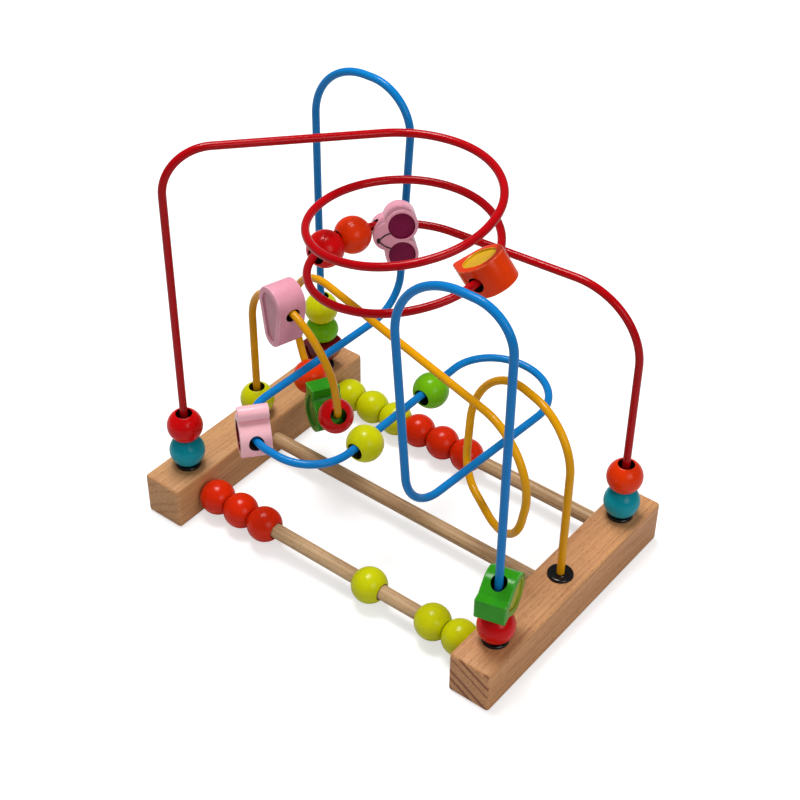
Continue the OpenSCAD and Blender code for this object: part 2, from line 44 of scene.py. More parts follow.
# Sizes of the part, in millimetres
POST_X = 127.5
POST_PITCH = 70.0
INNER_FACE = 112.5
FOOT = Vector((30.0, 193.0, 32.0))
FOOT_ROUND = 2.2
DOWEL_DIAMETER = 10.0
DOWEL_HEIGHT = 16.0
DOWEL_SEAT = 12.0
WIRE_DIAMETER = 5.2
WIRE_END = 24.0
FLANGE_DIAMETER = 17.0
FLANGE_HEIGHT = 2.0
POST_SEAT = 34.3
BEAD_DIAMETER = 24.0
BEAD_LENGTH = 20.8
FLAT_BEAD_LENGTH = 15.5
BEAD_BORE = 11.0
BORE_ROUND = 0.5
REST_GAP = 0.3
SEAT_GAP = 0.3
BEAD_STEP = BEAD_LENGTH + REST_GAP
PIECE_THICKNESS = 20.0
PIECE_BORE = 10.0
PIECE_ROUND = 1.1
POCKET_DEPTH = 1.2
POCKET_LIP = 0.25
POCKET_WALL = 4.0
# Enough to tell a pocket's faces from the flat face around it
HAIR = 0.05


def linear(red, green, blue):
    """A screen colour, 0 to 255, as the linear colour that a shader takes."""
    out = []
    for value in (red, green, blue):
        value /= 255
        out.append(value / 12.92 if value <= 0.04045 else ((value + 0.055) / 1.055) ** 2.4)
    return (*out, 1.0)


# Wires: corner points and bend radii, as in the part's source

def across(v, heading):
    return (v - v.dot(heading) * heading).normalized()


class Wire:
    """A bent wire. A place on it is a point, a heading, the side of the bend's centre and a radius."""

    def __init__(self, corners, bends):
        self.corners = [Vector(c) for c in corners]
        self.bends = bends
        self.last = len(corners) - 1

    def leg(self, i):
        return (self.corners[i + 1] - self.corners[i]).normalized()

    def turn(self, i):
        return math.acos(max(-1, min(1, self.leg(i - 1).dot(self.leg(i)))))

    def set_back(self, i):
        return 0 if i in (0, self.last) else self.bends[i] * math.tan(self.turn(i) / 2)

    def leg_length(self, i):
        return (self.corners[i + 1] - self.corners[i]).length - self.set_back(i) - self.set_back(i + 1)

    def bend_length(self, i):
        return self.bends[i] * self.turn(i)

    def run_to(self, i):
        return sum(self.leg_length(k) + self.bend_length(k + 1) for k in range(i))

    def on_leg(self, i, d):
        return (self.corners[i] + self.leg(i) * (self.set_back(i) + d), self.leg(i), UP, 0)

    def on_bend(self, i, a):
        heading = self.leg(i - 1)
        side = across(self.leg(i), heading)
        centre = self.corners[i] - heading * self.set_back(i) + side * self.bends[i]
        return (centre + self.bends[i] * (math.sin(a) * heading - math.cos(a) * side),
                math.cos(a) * heading + math.sin(a) * side,
                math.cos(a) * side - math.sin(a) * heading, self.bends[i])

    def along(self, d):
        i = 0
        while d > self.leg_length(i) + self.bend_length(i + 1):
            d -= self.leg_length(i) + self.bend_length(i + 1)
            i += 1
        if d <= self.leg_length(i):
            return self.on_leg(i, d)
        return self.on_bend(i + 1, (d - self.leg_length(i)) / self.bends[i + 1])

    def path(self, step=2.5):
        """Points down the whole wire, close together on the bends."""
        points = [self.corners[0]]
        for i in range(1, self.last):
            count = max(4, math.ceil(self.bend_length(i) / step))
            points += [self.on_bend(i, self.turn(i) * k / count)[0] for k in range(count + 1)]
        points.append(self.corners[-1])
        return points


COIL_RADIUS = 57.5
COIL_HEIGHT = 268.5
COIL_PITCH = 32.0
COIL_LEAN = (0.07, 0.06)
COIL_BENDS = 17
COIL_TANGENT = math.acos(COIL_RADIUS / math.hypot(POST_X, POST_PITCH))
COIL_ENTRY = math.pi + math.atan2(POST_PITCH, POST_X) - COIL_TANGENT
COIL_EXIT = math.atan2(POST_PITCH, POST_X) + COIL_TANGENT
COIL_STEP = (4 * math.pi + COIL_ENTRY - COIL_EXIT) / COIL_BENDS


def coil_corner(k):
    swept = COIL_STEP * (k + 0.5)
    angle = COIL_ENTRY - swept
    radius = COIL_RADIUS / math.cos(COIL_STEP / 2)
    x, y = radius * math.cos(angle), radius * math.sin(angle)
    return (x, y, COIL_HEIGHT - COIL_PITCH * swept / (2 * math.pi) + COIL_LEAN[0] * x + COIL_LEAN[1] * y)


coil = Wire(
    [(-POST_X, -POST_PITCH, WIRE_END), (-POST_X, -POST_PITCH, 275)]
    + [coil_corner(k) for k in range(COIL_BENDS)]
    + [(POST_X, POST_PITCH, 202), (POST_X, POST_PITCH, WIRE_END)],
    [0, 30] + [COIL_RADIUS * 0.98] * COIL_BENDS + [48, 0])

LOOP_HALF = [(POST_X, 0, WIRE_END), (POST_X, 0, 150), (38, 27, 150), (47, 6, 68), (109, -29, 58),
             (125, -32, 152)]
LOOP_BENDS = [0, 36, 40, 25, 37, 42]
loop = Wire([(-x, -y, z) for x, y, z in LOOP_HALF] + LOOP_HALF[::-1], LOOP_BENDS + LOOP_BENDS[::-1])

winding = Wire(
    [(-POST_X, POST_PITCH, WIRE_END), (-POST_X, POST_PITCH, 280), (-48, POST_PITCH, 280),
     (-58, POST_PITCH, 117), (-75, -84, 103), (0, -84, 99), (0, 90, 99), (71, 90, 95),
     (60, -POST_PITCH, 95), (45, -POST_PITCH, 272), (POST_X, -POST_PITCH, 272),
     (POST_X, -POST_PITCH, WIRE_END)],
    [0, 42, 30, 28, 32, 32, 34, 34, 28, 44, 26, 0])


# Places: a matrix whose Z axis is the bore, in millimetres

def placed(centre, heading, hint):
    x = across(hint, heading)
    y = heading.cross(x)
    return Matrix((
        (x[0], y[0], heading[0], centre[0]),
        (x[1], y[1], heading[1], centre[1]),
        (x[2], y[2], heading[2], centre[2]),
        (0, 0, 0, 1)))


def hanging(place, length, bore, hint=UP, lift=0):
    point, heading, side, radius = place
    bow = slant = 0
    if radius:
        bow = (radius - math.sqrt(radius ** 2 - (length / 2) ** 2)) / 2
        slant = WIRE_DIAMETER / 2 * (1 / math.cos(math.asin(length / 2 / radius)) - 1)
    drop = (bore - WIRE_DIAMETER) / 2 - SEAT_GAP - lift - slant - bow
    return placed(point + side * bow - across(UP, heading) * drop, heading, hint)


def on_coil(d):
    point, heading, _, _ = coil.along(d)
    return (point, heading, across(Vector((-point[0], -point[1], 0)), heading), COIL_RADIUS)


def on_post(side, row, z):
    return Matrix.Translation((side * POST_X, row * POST_PITCH, z))


def on_dowel(x, row):
    drop = (BEAD_BORE - DOWEL_DIAMETER) / 2 - SEAT_GAP
    return (Matrix.Translation((x, row * POST_PITCH, DOWEL_HEIGHT - drop))
            @ Matrix.Rotation(math.pi / 2, 4, "Y"))


# Mesh helpers

def new_object(name, mesh):
    obj = bpy.data.objects.new(name, mesh)
    bpy.context.scene.collection.objects.link(obj)
    return obj


def polyline(name, points, closed=False):
    mesh = bpy.data.meshes.new(name)
    count = len(points)
    edges = [(i, i + 1) for i in range(count - 1)]
    if closed:
        edges.append((count - 1, 0))
    mesh.from_pydata([tuple(p) for p in points], edges, [])
    return mesh


def evaluated_mesh(obj):
    graph = bpy.context.evaluated_depsgraph_get()
    return bpy.data.meshes.new_from_object(obj.evaluated_get(graph), preserve_all_data_layers=True,
                                           depsgraph=graph)


def grown(name, mesh, tree, values):
    """An object whose mesh is what the tree makes of the given mesh."""
    obj = new_object(name, mesh)
    modifier = obj.modifiers.new("shape", "NODES")
    modifier.node_group = tree
    for item in tree.interface.items_tree:
        if item.item_type == "SOCKET" and item.in_out == "INPUT" and item.name in values:
            modifier[item.identifier] = values[item.name]
    made = evaluated_mesh(obj)
    obj.modifiers.remove(modifier)
    obj.data = made
    made.name = name
    return obj


def tidy_normals(mesh, sharp):
    """Merges doubles and shades smooth, apart from edges sharper than the given degrees."""
    bm = bmesh.new()
    bm.from_mesh(mesh)
    bmesh.ops.remove_doubles(bm, verts=bm.verts, dist=1e-7)
    bmesh.ops.recalc_face_normals(bm, faces=bm.faces)
    for face in bm.faces:
        face.smooth = True
    bm.to_mesh(mesh)
    bm.free()
    mesh.set_sharp_from_angle(angle=math.radians(sharp))


# Geometry Nodes trees

def new_tree(name, sockets):
    tree = bpy.data.node_groups.new(name, "GeometryNodeTree")
    tree.interface.new_socket("Geometry", in_out="INPUT", socket_type="NodeSocketGeometry")
    for label, kind in sockets:
        tree.interface.new_socket(label, in_out="INPUT", socket_type=kind)
    tree.interface.new_socket("Geometry", in_out="OUTPUT", socket_type="NodeSocketGeometry")
    return tree, tree.nodes.new("NodeGroupInput"), tree.nodes.new("NodeGroupOutput")


def half_of(tree, socket):
    node = tree.nodes.new("ShaderNodeMath")
    node.operation = "MULTIPLY"
    node.inputs[1].default_value = 0.5
    tree.links.new(socket, node.inputs[0])
    return node.outputs[0]


def finish_tree(tree, geometry, source, sink):
    smooth = tree.nodes.new("GeometryNodeSetShadeSmooth")
    realize = tree.nodes.new("GeometryNodeRealizeInstances")
    material = tree.nodes.new("GeometryNodeSetMaterial")
    tree.links.new(geometry, smooth.inputs["Geometry"])
    tree.links.new(smooth.outputs["Geometry"], realize.inputs["Geometry"])
    tree.links.new(realize.outputs["Geometry"], material.inputs["Geometry"])
    tree.links.new(source.outputs["Finish"], material.inputs["Material"])
    tree.links.new(material.outputs["Geometry"], sink.inputs["Geometry"])


def round_stock_tree():
    """Round stock swept along the path that it is given."""
    tree, source, sink = new_tree("round stock along a path", [
        ("Diameter", "NodeSocketFloat"), ("Sides", "NodeSocketInt"), ("Finish", "NodeSocketMaterial")])
    path = tree.nodes.new("GeometryNodeMeshToCurve")
    profile = tree.nodes.new("GeometryNodeCurvePrimitiveCircle")
    sweep = tree.nodes.new("GeometryNodeCurveToMesh")
    sweep.inputs["Fill Caps"].default_value = True
    tree.links.new(source.outputs["Geometry"], path.inputs["Mesh"])
    tree.links.new(source.outputs["Sides"], profile.inputs["Resolution"])
    tree.links.new(half_of(tree, source.outputs["Diameter"]), profile.inputs["Radius"])
    tree.links.new(path.outputs["Curve"], sweep.inputs["Curve"])
    tree.links.new(profile.outputs["Curve"], sweep.inputs["Profile Curve"])
    finish_tree(tree, sweep.outputs["Mesh"], source, sink)
    return tree


def turned_tree():
    """A turned piece: its profile swept about Z, then put at every place of a grid of posts."""
    tree, source, sink = new_tree("turned piece", [
        ("Core Diameter", "NodeSocketFloat"), ("Steps", "NodeSocketInt"),
        ("Spread X", "NodeSocketFloat"), ("Spread Y", "NodeSocketFloat"),
        ("Rows X", "NodeSocketInt"), ("Rows Y", "NodeSocketInt"), ("Finish", "NodeSocketMaterial")])
    profile = tree.nodes.new("GeometryNodeMeshToCurve")
    core = tree.nodes.new("GeometryNodeCurvePrimitiveCircle")
    sweep = tree.nodes.new("GeometryNodeCurveToMesh")
    grid = tree.nodes.new("GeometryNodeMeshGrid")
    places = tree.nodes.new("GeometryNodeInstanceOnPoints")
    tree.links.new(source.outputs["Geometry"], profile.inputs["Mesh"])
    tree.links.new(source.outputs["Steps"], core.inputs["Resolution"])
    tree.links.new(half_of(tree, source.outputs["Core Diameter"]), core.inputs["Radius"])
    tree.links.new(core.outputs["Curve"], sweep.inputs["Curve"])
    tree.links.new(profile.outputs["Curve"], sweep.inputs["Profile Curve"])
    for label, socket in (("Spread X", "Size X"), ("Spread Y", "Size Y"),
                          ("Rows X", "Vertices X"), ("Rows Y", "Vertices Y")):
        tree.links.new(source.outputs[label], grid.inputs[socket])
    tree.links.new(grid.outputs["Mesh"], places.inputs["Points"])
    tree.links.new(sweep.outputs["Mesh"], places.inputs["Instance"])
    finish_tree(tree, places.outputs["Instances"], source, sink)
    return tree


round_stock = round_stock_tree()
turned_piece = turned_tree()


# Shader groups

def group_tree(name, inputs, outputs):
    tree = bpy.data.node_groups.new(name, "ShaderNodeTree")
    for label, kind in inputs:
        tree.interface.new_socket(label, in_out="INPUT", socket_type=kind)
    for label, kind in outputs:
        tree.interface.new_socket(label, in_out="OUTPUT", socket_type=kind)
    return tree, tree.nodes.new("NodeGroupInput"), tree.nodes.new("NodeGroupOutput")


def noise(tree, vector, scale, detail=3.0, roughness=0.5, dimensions="3D"):
    node = tree.nodes.new("ShaderNodeTexNoise")
    node.noise_dimensions = dimensions
    node.inputs["Scale"].default_value = scale
    node.inputs["Detail"].default_value = detail
    node.inputs["Roughness"].default_value = roughness
    tree.links.new(vector, node.inputs["W" if dimensions == "1D" else "Vector"])
    return node.outputs[0]


def math_node(tree, operation, a, b=None, c=None):
    node = tree.nodes.new("ShaderNodeMath")
    node.operation = operation
    for index, value in enumerate((a, b, c)):
        if value is None:
            continue
        if isinstance(value, (int, float)):
            node.inputs[index].default_value = value
        else:
            tree.links.new(value, node.inputs[index])
    return node.outputs[0]


def remap(tree, value, low, high, to_low=0.0, to_high=1.0):
    node = tree.nodes.new("ShaderNodeMapRange")
    node.interpolation_type = "SMOOTHSTEP"
    for label, number in (("From Min", low), ("From Max", high),
                          ("To Min", to_low), ("To Max", to_high)):
        node.inputs[label].default_value = number
    tree.links.new(value, node.inputs["Value"])
    return node.outputs["Result"]


def stretched(tree, vector, scale):
    node = tree.nodes.new("ShaderNodeVectorMath")
    node.operation = "MULTIPLY"
    node.inputs[1].default_value = scale
    tree.links.new(vector, node.inputs[0])
    return node.outputs[0]


def mixed(tree, factor, a, b):
    node = tree.nodes.new("ShaderNodeMix")
    node.data_type = "RGBA"
    for socket, value in ((node.inputs[0], factor), (node.inputs[6], a), (node.inputs[7], b)):
        if isinstance(value, (int, float, tuple)):
            socket.default_value = value
        else:
            tree.links.new(value, socket)
    return node.outputs[2]


def wood_group():
    """Timber whose grain runs along Y: growth rings, streaks, short flecks and, on the sawn ends,
    thin growth lines."""
    tree, source, sink = group_tree("timber grain", [
        ("Vector", "NodeSocketVector"), ("Pale", "NodeSocketColor"), ("Dark", "NodeSocketColor"),
        ("Ring Amount", "NodeSocketFloat"), ("Fleck Amount", "NodeSocketFloat"),
        ("End Amount", "NodeSocketFloat"), ("End", "NodeSocketFloat")],
        [("Colour", "NodeSocketColor"), ("Roughness", "NodeSocketFloat"),
         ("Height", "NodeSocketFloat")])
    vector = source.outputs["Vector"]
    wander = noise(tree, stretched(tree, vector, (9, 3, 9)), 1.0, 2.0)
    split = tree.nodes.new("ShaderNodeSeparateXYZ")
    tree.links.new(vector, split.inputs[0])
    out = math_node(tree, "SQRT", math_node(
        tree, "ADD", math_node(tree, "MULTIPLY", split.outputs[0], split.outputs[0]),
        math_node(tree, "MULTIPLY", split.outputs[2], split.outputs[2])))
    ring_place = math_node(tree, "MULTIPLY_ADD", wander, 0.012, out)
    rings = noise(tree, ring_place, 620.0, 1.5, 0.6, "1D")
    broad = noise(tree, ring_place, 90.0, 1.0, 0.5, "1D")
    streaks = noise(tree, stretched(tree, vector, (700, 14, 700)), 1.0, 3.0, 0.6)
    flecks = remap(tree, noise(tree, stretched(tree, vector, (1500, 260, 1500)), 1.0, 1.0), 0.60, 0.72)
    tint = math_node(tree, "MULTIPLY_ADD", rings, 0.55, math_node(tree, "MULTIPLY", broad, 0.45))
    tint = remap(tree, tint, 0.36, 0.64)
    side_tint = math_node(tree, "MULTIPLY", tint, source.outputs["Ring Amount"])
    lines = remap(tree, noise(tree, ring_place, 330.0, 0.0, 0.5, "1D"), 0.5, 0.64)
    end_tint = math_node(tree, "MULTIPLY_ADD", lines, source.outputs["End Amount"], 0.12)
    tint = math_node(tree, "MULTIPLY_ADD", math_node(tree, "SUBTRACT", end_tint, side_tint),
                     source.outputs["End"], side_tint)
    tint = math_node(tree, "MULTIPLY_ADD", remap(tree, streaks, 0.35, 0.7), 0.35, tint)
    tint = math_node(tree, "MULTIPLY_ADD", flecks, source.outputs["Fleck Amount"], tint)
    clamp = tree.nodes.new("ShaderNodeClamp")
    tree.links.new(tint, clamp.inputs["Value"])
    colour = mixed(tree, clamp.outputs[0], source.outputs["Pale"], source.outputs["Dark"])
    tree.links.new(colour, sink.inputs["Colour"])
    tree.links.new(remap(tree, streaks, 0.3, 0.7, 0.5, 0.64), sink.inputs["Roughness"])
    height = math_node(tree, "MULTIPLY_ADD", flecks, -0.6, math_node(tree, "MULTIPLY", streaks, 0.5))
    tree.links.new(height, sink.inputs["Height"])
    return tree


def coating_group():
    """A paint or dip coating: mottled tone, uneven gloss and a fine orange-peel surface."""
    tree, source, sink = group_tree("coating", [
        ("Vector", "NodeSocketVector"), ("Colour", "NodeSocketColor"), ("Deep", "NodeSocketColor"),
        ("Mottle", "NodeSocketFloat"), ("Peel Size", "NodeSocketFloat")],
        [("Colour", "NodeSocketColor"), ("Gloss Spread", "NodeSocketFloat"),
         ("Height", "NodeSocketFloat")])
    vector = source.outputs["Vector"]
    cloud = noise(tree, vector, 70.0, 2.0)
    fine = noise(tree, vector, 420.0, 2.0)
    tone = math_node(tree, "MULTIPLY_ADD", remap(tree, cloud, 0.3, 0.7), 0.7,
                     math_node(tree, "MULTIPLY", remap(tree, fine, 0.3, 0.7), 0.3))
    tone = math_node(tree, "MULTIPLY", tone, source.outputs["Mottle"])
    colour = mixed(tree, tone, source.outputs["Colour"], source.outputs["Deep"])
    tree.links.new(colour, sink.inputs["Colour"])
    tree.links.new(remap(tree, fine, 0.3, 0.7), sink.inputs["Gloss Spread"])
    peel = tree.nodes.new("ShaderNodeTexNoise")
    peel.inputs["Detail"].default_value = 2.0
    tree.links.new(vector, peel.inputs["Vector"])
    tree.links.new(source.outputs["Peel Size"], peel.inputs["Scale"])
    tree.links.new(peel.outputs[0], sink.inputs["Height"])
    return tree


timber_grain = wood_group()
coating = coating_group()


# Materials

def new_material(name):
    material = bpy.data.materials.new(name)
    material.use_nodes = True
    tree = material.node_tree
    shader = tree.nodes["Principled BSDF"]
    place = tree.nodes.new("ShaderNodeTexCoord")
    return material, tree, shader, place.outputs["Object"]


def add_bump(tree, shader, height, strength, distance):
    bump = tree.nodes.new("ShaderNodeBump")
    bump.inputs["Strength"].default_value = strength
    bump.inputs["Distance"].default_value = distance
    tree.links.new(height, bump.inputs["Height"])
    tree.links.new(bump.outputs["Normal"], shader.inputs["Normal"])


GRAIN_BUMP, GRAIN_HEIGHT, PEEL_HEIGHT = 0.25, 0.0002, 0.0004
# How far from the middle a foot's round turns into its sawn end, in metres
SAWN_END = ((FOOT.y - 0.8 * FOOT_ROUND) / 2 * MM, (FOOT.y - 0.2 * FOOT_ROUND) / 2 * MM)


def timber(name, pale, dark, turn, centre, rings, flecks, ends):
    """Bare, lightly sealed wood. The grain's own axes are turned and centred by a Mapping node.
    The growth rings show with their own strength on the sawn ends, which face along Y."""
    material, tree, shader, vector = new_material(name)
    mapping = tree.nodes.new("ShaderNodeMapping")
    mapping.inputs["Rotation"].default_value = turn
    mapping.inputs["Location"].default_value = centre
    tree.links.new(vector, mapping.inputs["Vector"])
    grain = tree.nodes.new("ShaderNodeGroup")
    grain.node_tree = timber_grain
    grain.inputs["Pale"].default_value = pale
    grain.inputs["Dark"].default_value = dark
    grain.inputs["Ring Amount"].default_value = rings
    grain.inputs["Fleck Amount"].default_value = flecks
    grain.inputs["End Amount"].default_value = ends
    split = tree.nodes.new("ShaderNodeSeparateXYZ")
    tree.links.new(vector, split.inputs[0])
    sawn = remap(tree, math_node(tree, "ABSOLUTE", split.outputs[1]), *SAWN_END)
    tree.links.new(sawn, grain.inputs["End"])
    tree.links.new(mapping.outputs["Vector"], grain.inputs["Vector"])
    tree.links.new(grain.outputs["Colour"], shader.inputs["Base Color"])
    tree.links.new(grain.outputs["Roughness"], shader.inputs["Roughness"])
    add_bump(tree, shader, grain.outputs["Height"], GRAIN_BUMP, GRAIN_HEIGHT)
    return material


def coated(name, colour, deep, mottle=0.5, gloss=(0.3, 0.4), specular=0.35, peel=900.0, bump=0.06,
           bore=None, edge=None):
    """Paint, lacquer or dip coating. The "bore" attribute darkens the walls of a drilled hole to near
    black as painted shade, and the "edge" attribute lightens a shape's rounded edges in patches as a
    painted highlight."""
    material, tree, shader, vector = new_material(name)
    surface = tree.nodes.new("ShaderNodeGroup")
    surface.node_tree = coating
    surface.inputs["Colour"].default_value = colour
    surface.inputs["Deep"].default_value = deep
    surface.inputs["Mottle"].default_value = mottle
    surface.inputs["Peel Size"].default_value = peel
    tree.links.new(vector, surface.inputs["Vector"])
    tint = surface.outputs["Colour"]
    # The walls of the bore take a near-black colour: painted shade inside the hole
    if bore is not None:
        hole = tree.nodes.new("ShaderNodeAttribute")
        hole.attribute_name = "bore"
        tint = mixed(tree, hole.outputs["Fac"], tint, bore)
    # Rounded edges are lightened towards white in patches: a painted highlight
    if edge is not None:
        rim = tree.nodes.new("ShaderNodeAttribute")
        rim.attribute_name = "edge"
        patchy_highlight = remap(tree, noise(tree, vector, 260.0, 3.0), 0.35, 0.65, 0.15, 0.75)
        tint = mixed(tree, math_node(tree, "MULTIPLY", rim.outputs["Fac"], patchy_highlight), tint, edge)
    tree.links.new(tint, shader.inputs["Base Color"])
    roughness = remap(tree, surface.outputs["Gloss Spread"], 0, 1, *gloss)
    tree.links.new(roughness, shader.inputs["Roughness"])
    shader.inputs["Specular IOR Level"].default_value = specular
    add_bump(tree, shader, surface.outputs["Height"], bump, PEEL_HEIGHT)
    return material


left_beech = timber("left beech", linear(204, 151, 99), linear(148, 94, 51),
                    turn=(0, 0.3, 0.02), centre=(0.02, 0, 0.3), rings=0.22, flecks=0.5, ends=0.25)
right_beech = timber("right beech", linear(210, 152, 100), linear(142, 84, 48),
                     turn=(0, -0.42, 0.02), centre=(-0.06, 0, 0.3), rings=0.18, flecks=0.5, ends=0.95)
dowel_wood = timber("dowel wood", linear(208, 174, 130), linear(152, 110, 70),
                    turn=(0, 0, math.pi / 2), centre=(0.03, 0, 0.01), rings=0.5, flecks=0.4, ends=0.5)

DIP = {"mottle": 0.5, "gloss": (0.14, 0.2), "specular": 0.18, "peel": 380.0, "bump": 0.1}
red_wire = coated("red dip coating", linear(176, 2, 12), linear(156, 0, 6), **DIP)
yellow_wire = coated("yellow dip coating", linear(222, 156, 4), linear(206, 140, 0), **DIP)
blue_wire = coated("blue dip coating", linear(14, 122, 194), linear(6, 110, 180), **DIP)
black_plastic = coated("black plastic", linear(10, 10, 11), linear(20, 19, 20),
                       mottle=0.6, gloss=(0.16, 0.24), specular=0.5)

PAINT = {"mottle": 0.6, "gloss": (0.18, 0.26), "specular": 0.2, "peel": 700.0, "bump": 0.06}
# How dark the painted shade in a bore is, how far the painted highlight on rounded edges goes towards
# white, and the small black floor of that shade
BORE_SHADE_SHARE, EDGE_HIGHLIGHT_SHARE, BORE_SHADE_BLACK = 0.06, 0.7, 0.001


def lacquer(name, colour, deep):
    """Gloss paint on wood, with painted shade in its bore and a painted highlight along its rounded
    edges.
    """
    # The bore's near-black colour is painted shade inside the hole
    bore = tuple(BORE_SHADE_SHARE * c + BORE_SHADE_BLACK for c in linear(*deep)[:3]) + (1.0,)
    # The paler colour of rounded edges is a painted highlight
    edge_highlight = linear(*[255 - (255 - c) * EDGE_HIGHLIGHT_SHARE for c in colour])
    return coated(name, linear(*colour), linear(*deep), bore=bore, edge=edge_highlight, **PAINT)


LACQUERS = {
    "scarlet_bead": lacquer("scarlet lacquer", (216, 40, 0), (196, 28, 0)),
    "yellow_bead": lacquer("yellow lacquer", (206, 208, 4), (188, 192, 0)),
    "red_bead": lacquer("red lacquer", (212, 2, 6), (190, 0, 2)),
    "teal_bead": lacquer("teal lacquer", (0, 152, 170), (0, 134, 150)),
    "lime_bead": lacquer("lime lacquer", (116, 190, 10), (98, 172, 2)),
    "orange_bead": lacquer("orange lacquer", (230, 56, 0), (208, 40, 0)),
    "pink_fruit": lacquer("pink paint", (230, 160, 178), (216, 142, 160)),
    "orange_fruit": lacquer("orange paint", (226, 60, 0), (206, 44, 0)),
    "green_fruit": lacquer("green paint", (48, 150, 22), (34, 130, 12)),
    "crimson_fruit": lacquer("crimson paint", (122, 0, 4), (100, 0, 2)),
}
POCKET_PAINTS = {
    "purple": lacquer("purple pocket paint", (126, 0, 62), (106, 0, 50)),
    "mauve": lacquer("mauve pocket paint", (206, 142, 156), (190, 124, 138)),
    "wine": lacquer("wine pocket paint", (118, 14, 28), (98, 4, 16)),
    "ochre": lacquer("ochre pocket paint", (214, 168, 36), (194, 148, 20)),
    "olive": lacquer("olive pocket paint", (158, 168, 48), (136, 150, 34)),
    # The loop pear's pocket paint is the olive pocket paint made darker and greener, as painted shade
    "shaded_olive": lacquer("moss pocket paint", (64, 132, 36), (48, 112, 22)),
    "garnet": lacquer("garnet pocket paint", (92, 0, 6), (72, 0, 2)),
}
rose_paint = lacquer("rose paint", (246, 188, 196), (234, 170, 180))
stem_ink = coated("black stem paint", linear(22, 4, 10), linear(12, 2, 4), gloss=(0.4, 0.5))


# Feet, dowels, wires and bushings

def foot(name, node, side, wood):
    bm = bmesh.new()
    bmesh.ops.create_cube(bm, size=1.0)
    bmesh.ops.scale(bm, vec=FOOT * MM, verts=bm.verts)
    bmesh.ops.translate(bm, vec=Vector((side * POST_X, 0, FOOT.z / 2)) * MM, verts=bm.verts)
    bmesh.ops.bevel(bm, geom=bm.edges[:], offset=FOOT_ROUND * MM, offset_type="OFFSET", segments=4,
                    profile=0.5, affect="EDGES")
    mesh = bpy.data.meshes.new(name)
    bm.to_mesh(mesh)
    bm.free()
    tidy_normals(mesh, 40)
    mesh.materials.append(wood)
    obj = new_object(name, mesh)
    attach(obj, "frame")
    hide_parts(node)


foot("left_block", "left_foot", -1, left_beech)
foot("right_block", "right_foot", 1, right_beech)

DOWEL_REACH = INNER_FACE + DOWEL_SEAT
for row, label in ((-1, "front"), (0, "middle"), (1, "rear")):
    points = [Vector((DOWEL_REACH * t, row * POST_PITCH, DOWEL_HEIGHT)) * MM
              for t in (-1, -0.33, 0.33, 1)]
    rod = grown(label + "_rod", polyline(label + "_rod", points), round_stock,
                {"Diameter": DOWEL_DIAMETER * MM, "Sides": 48, "Finish": dowel_wood})
    tidy_normals(rod.data, 60)
    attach(rod, "frame")
    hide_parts(label + "_dowel")

for wire, label, node, material, slot in (
        (coil, "red_coiled_rod", "coil_wire", red_wire, "red_wire"),
        (loop, "yellow_looped_rod", "looped_wire", yellow_wire, "yellow_wire"),
        (winding, "blue_winding_rod", "winding_wire", blue_wire, "blue_wire")):
    rod = grown(label, polyline(label, [p * MM for p in wire.path()]), round_stock,
                {"Diameter": WIRE_DIAMETER * MM, "Sides": 24, "Finish": material})
    tidy_normals(rod.data, 60)
    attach(rod, "frame")
    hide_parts(node)


def arc(centre, radius, first, last, steps):
    """Points of an arc in a profile, from one angle to another in degrees."""
    angles = [math.radians(first + (last - first) * k / steps) for k in range(steps + 1)]
    return [(centre[0] + radius * math.cos(a), centre[1] + radius * math.sin(a)) for a in angles]


def turned_mesh(name, profile, core):
    """The mesh for a turned piece: a closed profile of (radius, height) about its core's surface."""
    return polyline(name, [Vector((r - core / 2, -z, 0)) * MM for r, z in profile], closed=True)


SLEEVE_RADIUS, SLEEVE_DEPTH, FLANGE_ROUND = 4.5, 3.0, 1.5
# The flange's dish: radius and depth below its top, from its flat to the lip at the wire
DISH = ((5.6, 0.0), (5.1, 0.5), (4.3, 0.5), (3.9, 0.1), (3.2, 0.0), (WIRE_DIAMETER / 2, 0.3))
COLLAR_CORE = 4.0


def collar_profile():
    """A bushing's flange: a rounded edge, a shallow dish and a lip around the wire."""
    rim = FLANGE_DIAMETER / 2
    return ([(WIRE_DIAMETER / 2, -SLEEVE_DEPTH), (SLEEVE_RADIUS, -SLEEVE_DEPTH), (SLEEVE_RADIUS, 0.0),
             (rim, 0.0)]
            + arc((rim - FLANGE_ROUND, FLANGE_HEIGHT - FLANGE_ROUND), FLANGE_ROUND, 0, 90, 6)
            + [(radius, FLANGE_HEIGHT - depth) for radius, depth in DISH])


collars = grown("wire_collars", turned_mesh("wire_collars", collar_profile(), COLLAR_CORE), turned_piece,
                {"Core Diameter": COLLAR_CORE * MM, "Steps": 48, "Spread X": 2 * POST_X * MM,
                 "Spread Y": 2 * POST_PITCH * MM, "Rows X": 2, "Rows Y": 3, "Finish": black_plastic})
collars.data.transform(Matrix.Translation((0, 0, FOOT.z * MM)))
tidy_normals(collars.data, 35)
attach(collars, "frame")
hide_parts(*[side + "_" + row + "_bushing" for side in ("left", "right")
                       for row in ("front", "middle", "rear")])


# Beads

def in_metres(matrix):
    out = matrix.copy()
    out.translation = matrix.translation * MM
    return out


BORE_MARGIN = 0.12


def mark_bore_shade(mesh, matrix, bore):
    """Writes 1 into the "bore" attribute on the faces that line the hole and 0 elsewhere; the paint on
    those faces is darkened as painted shade.
    """
    back = matrix.inverted()
    limit = (bore / 2 + BORE_MARGIN) * MM
    spots = [back @ vertex.co for vertex in mesh.vertices]
    lining = [math.hypot(p.x, p.y) < limit for p in spots]
    marks = mesh.attributes.new("bore", "FLOAT", "FACE")
    for face in mesh.polygons:
        marks.data[face.index].value = 1.0 if all(lining[v] for v in face.vertices) else 0.0


# Degrees by which a bead's side stops short of its bore's round
SIDE_TRIM = 3


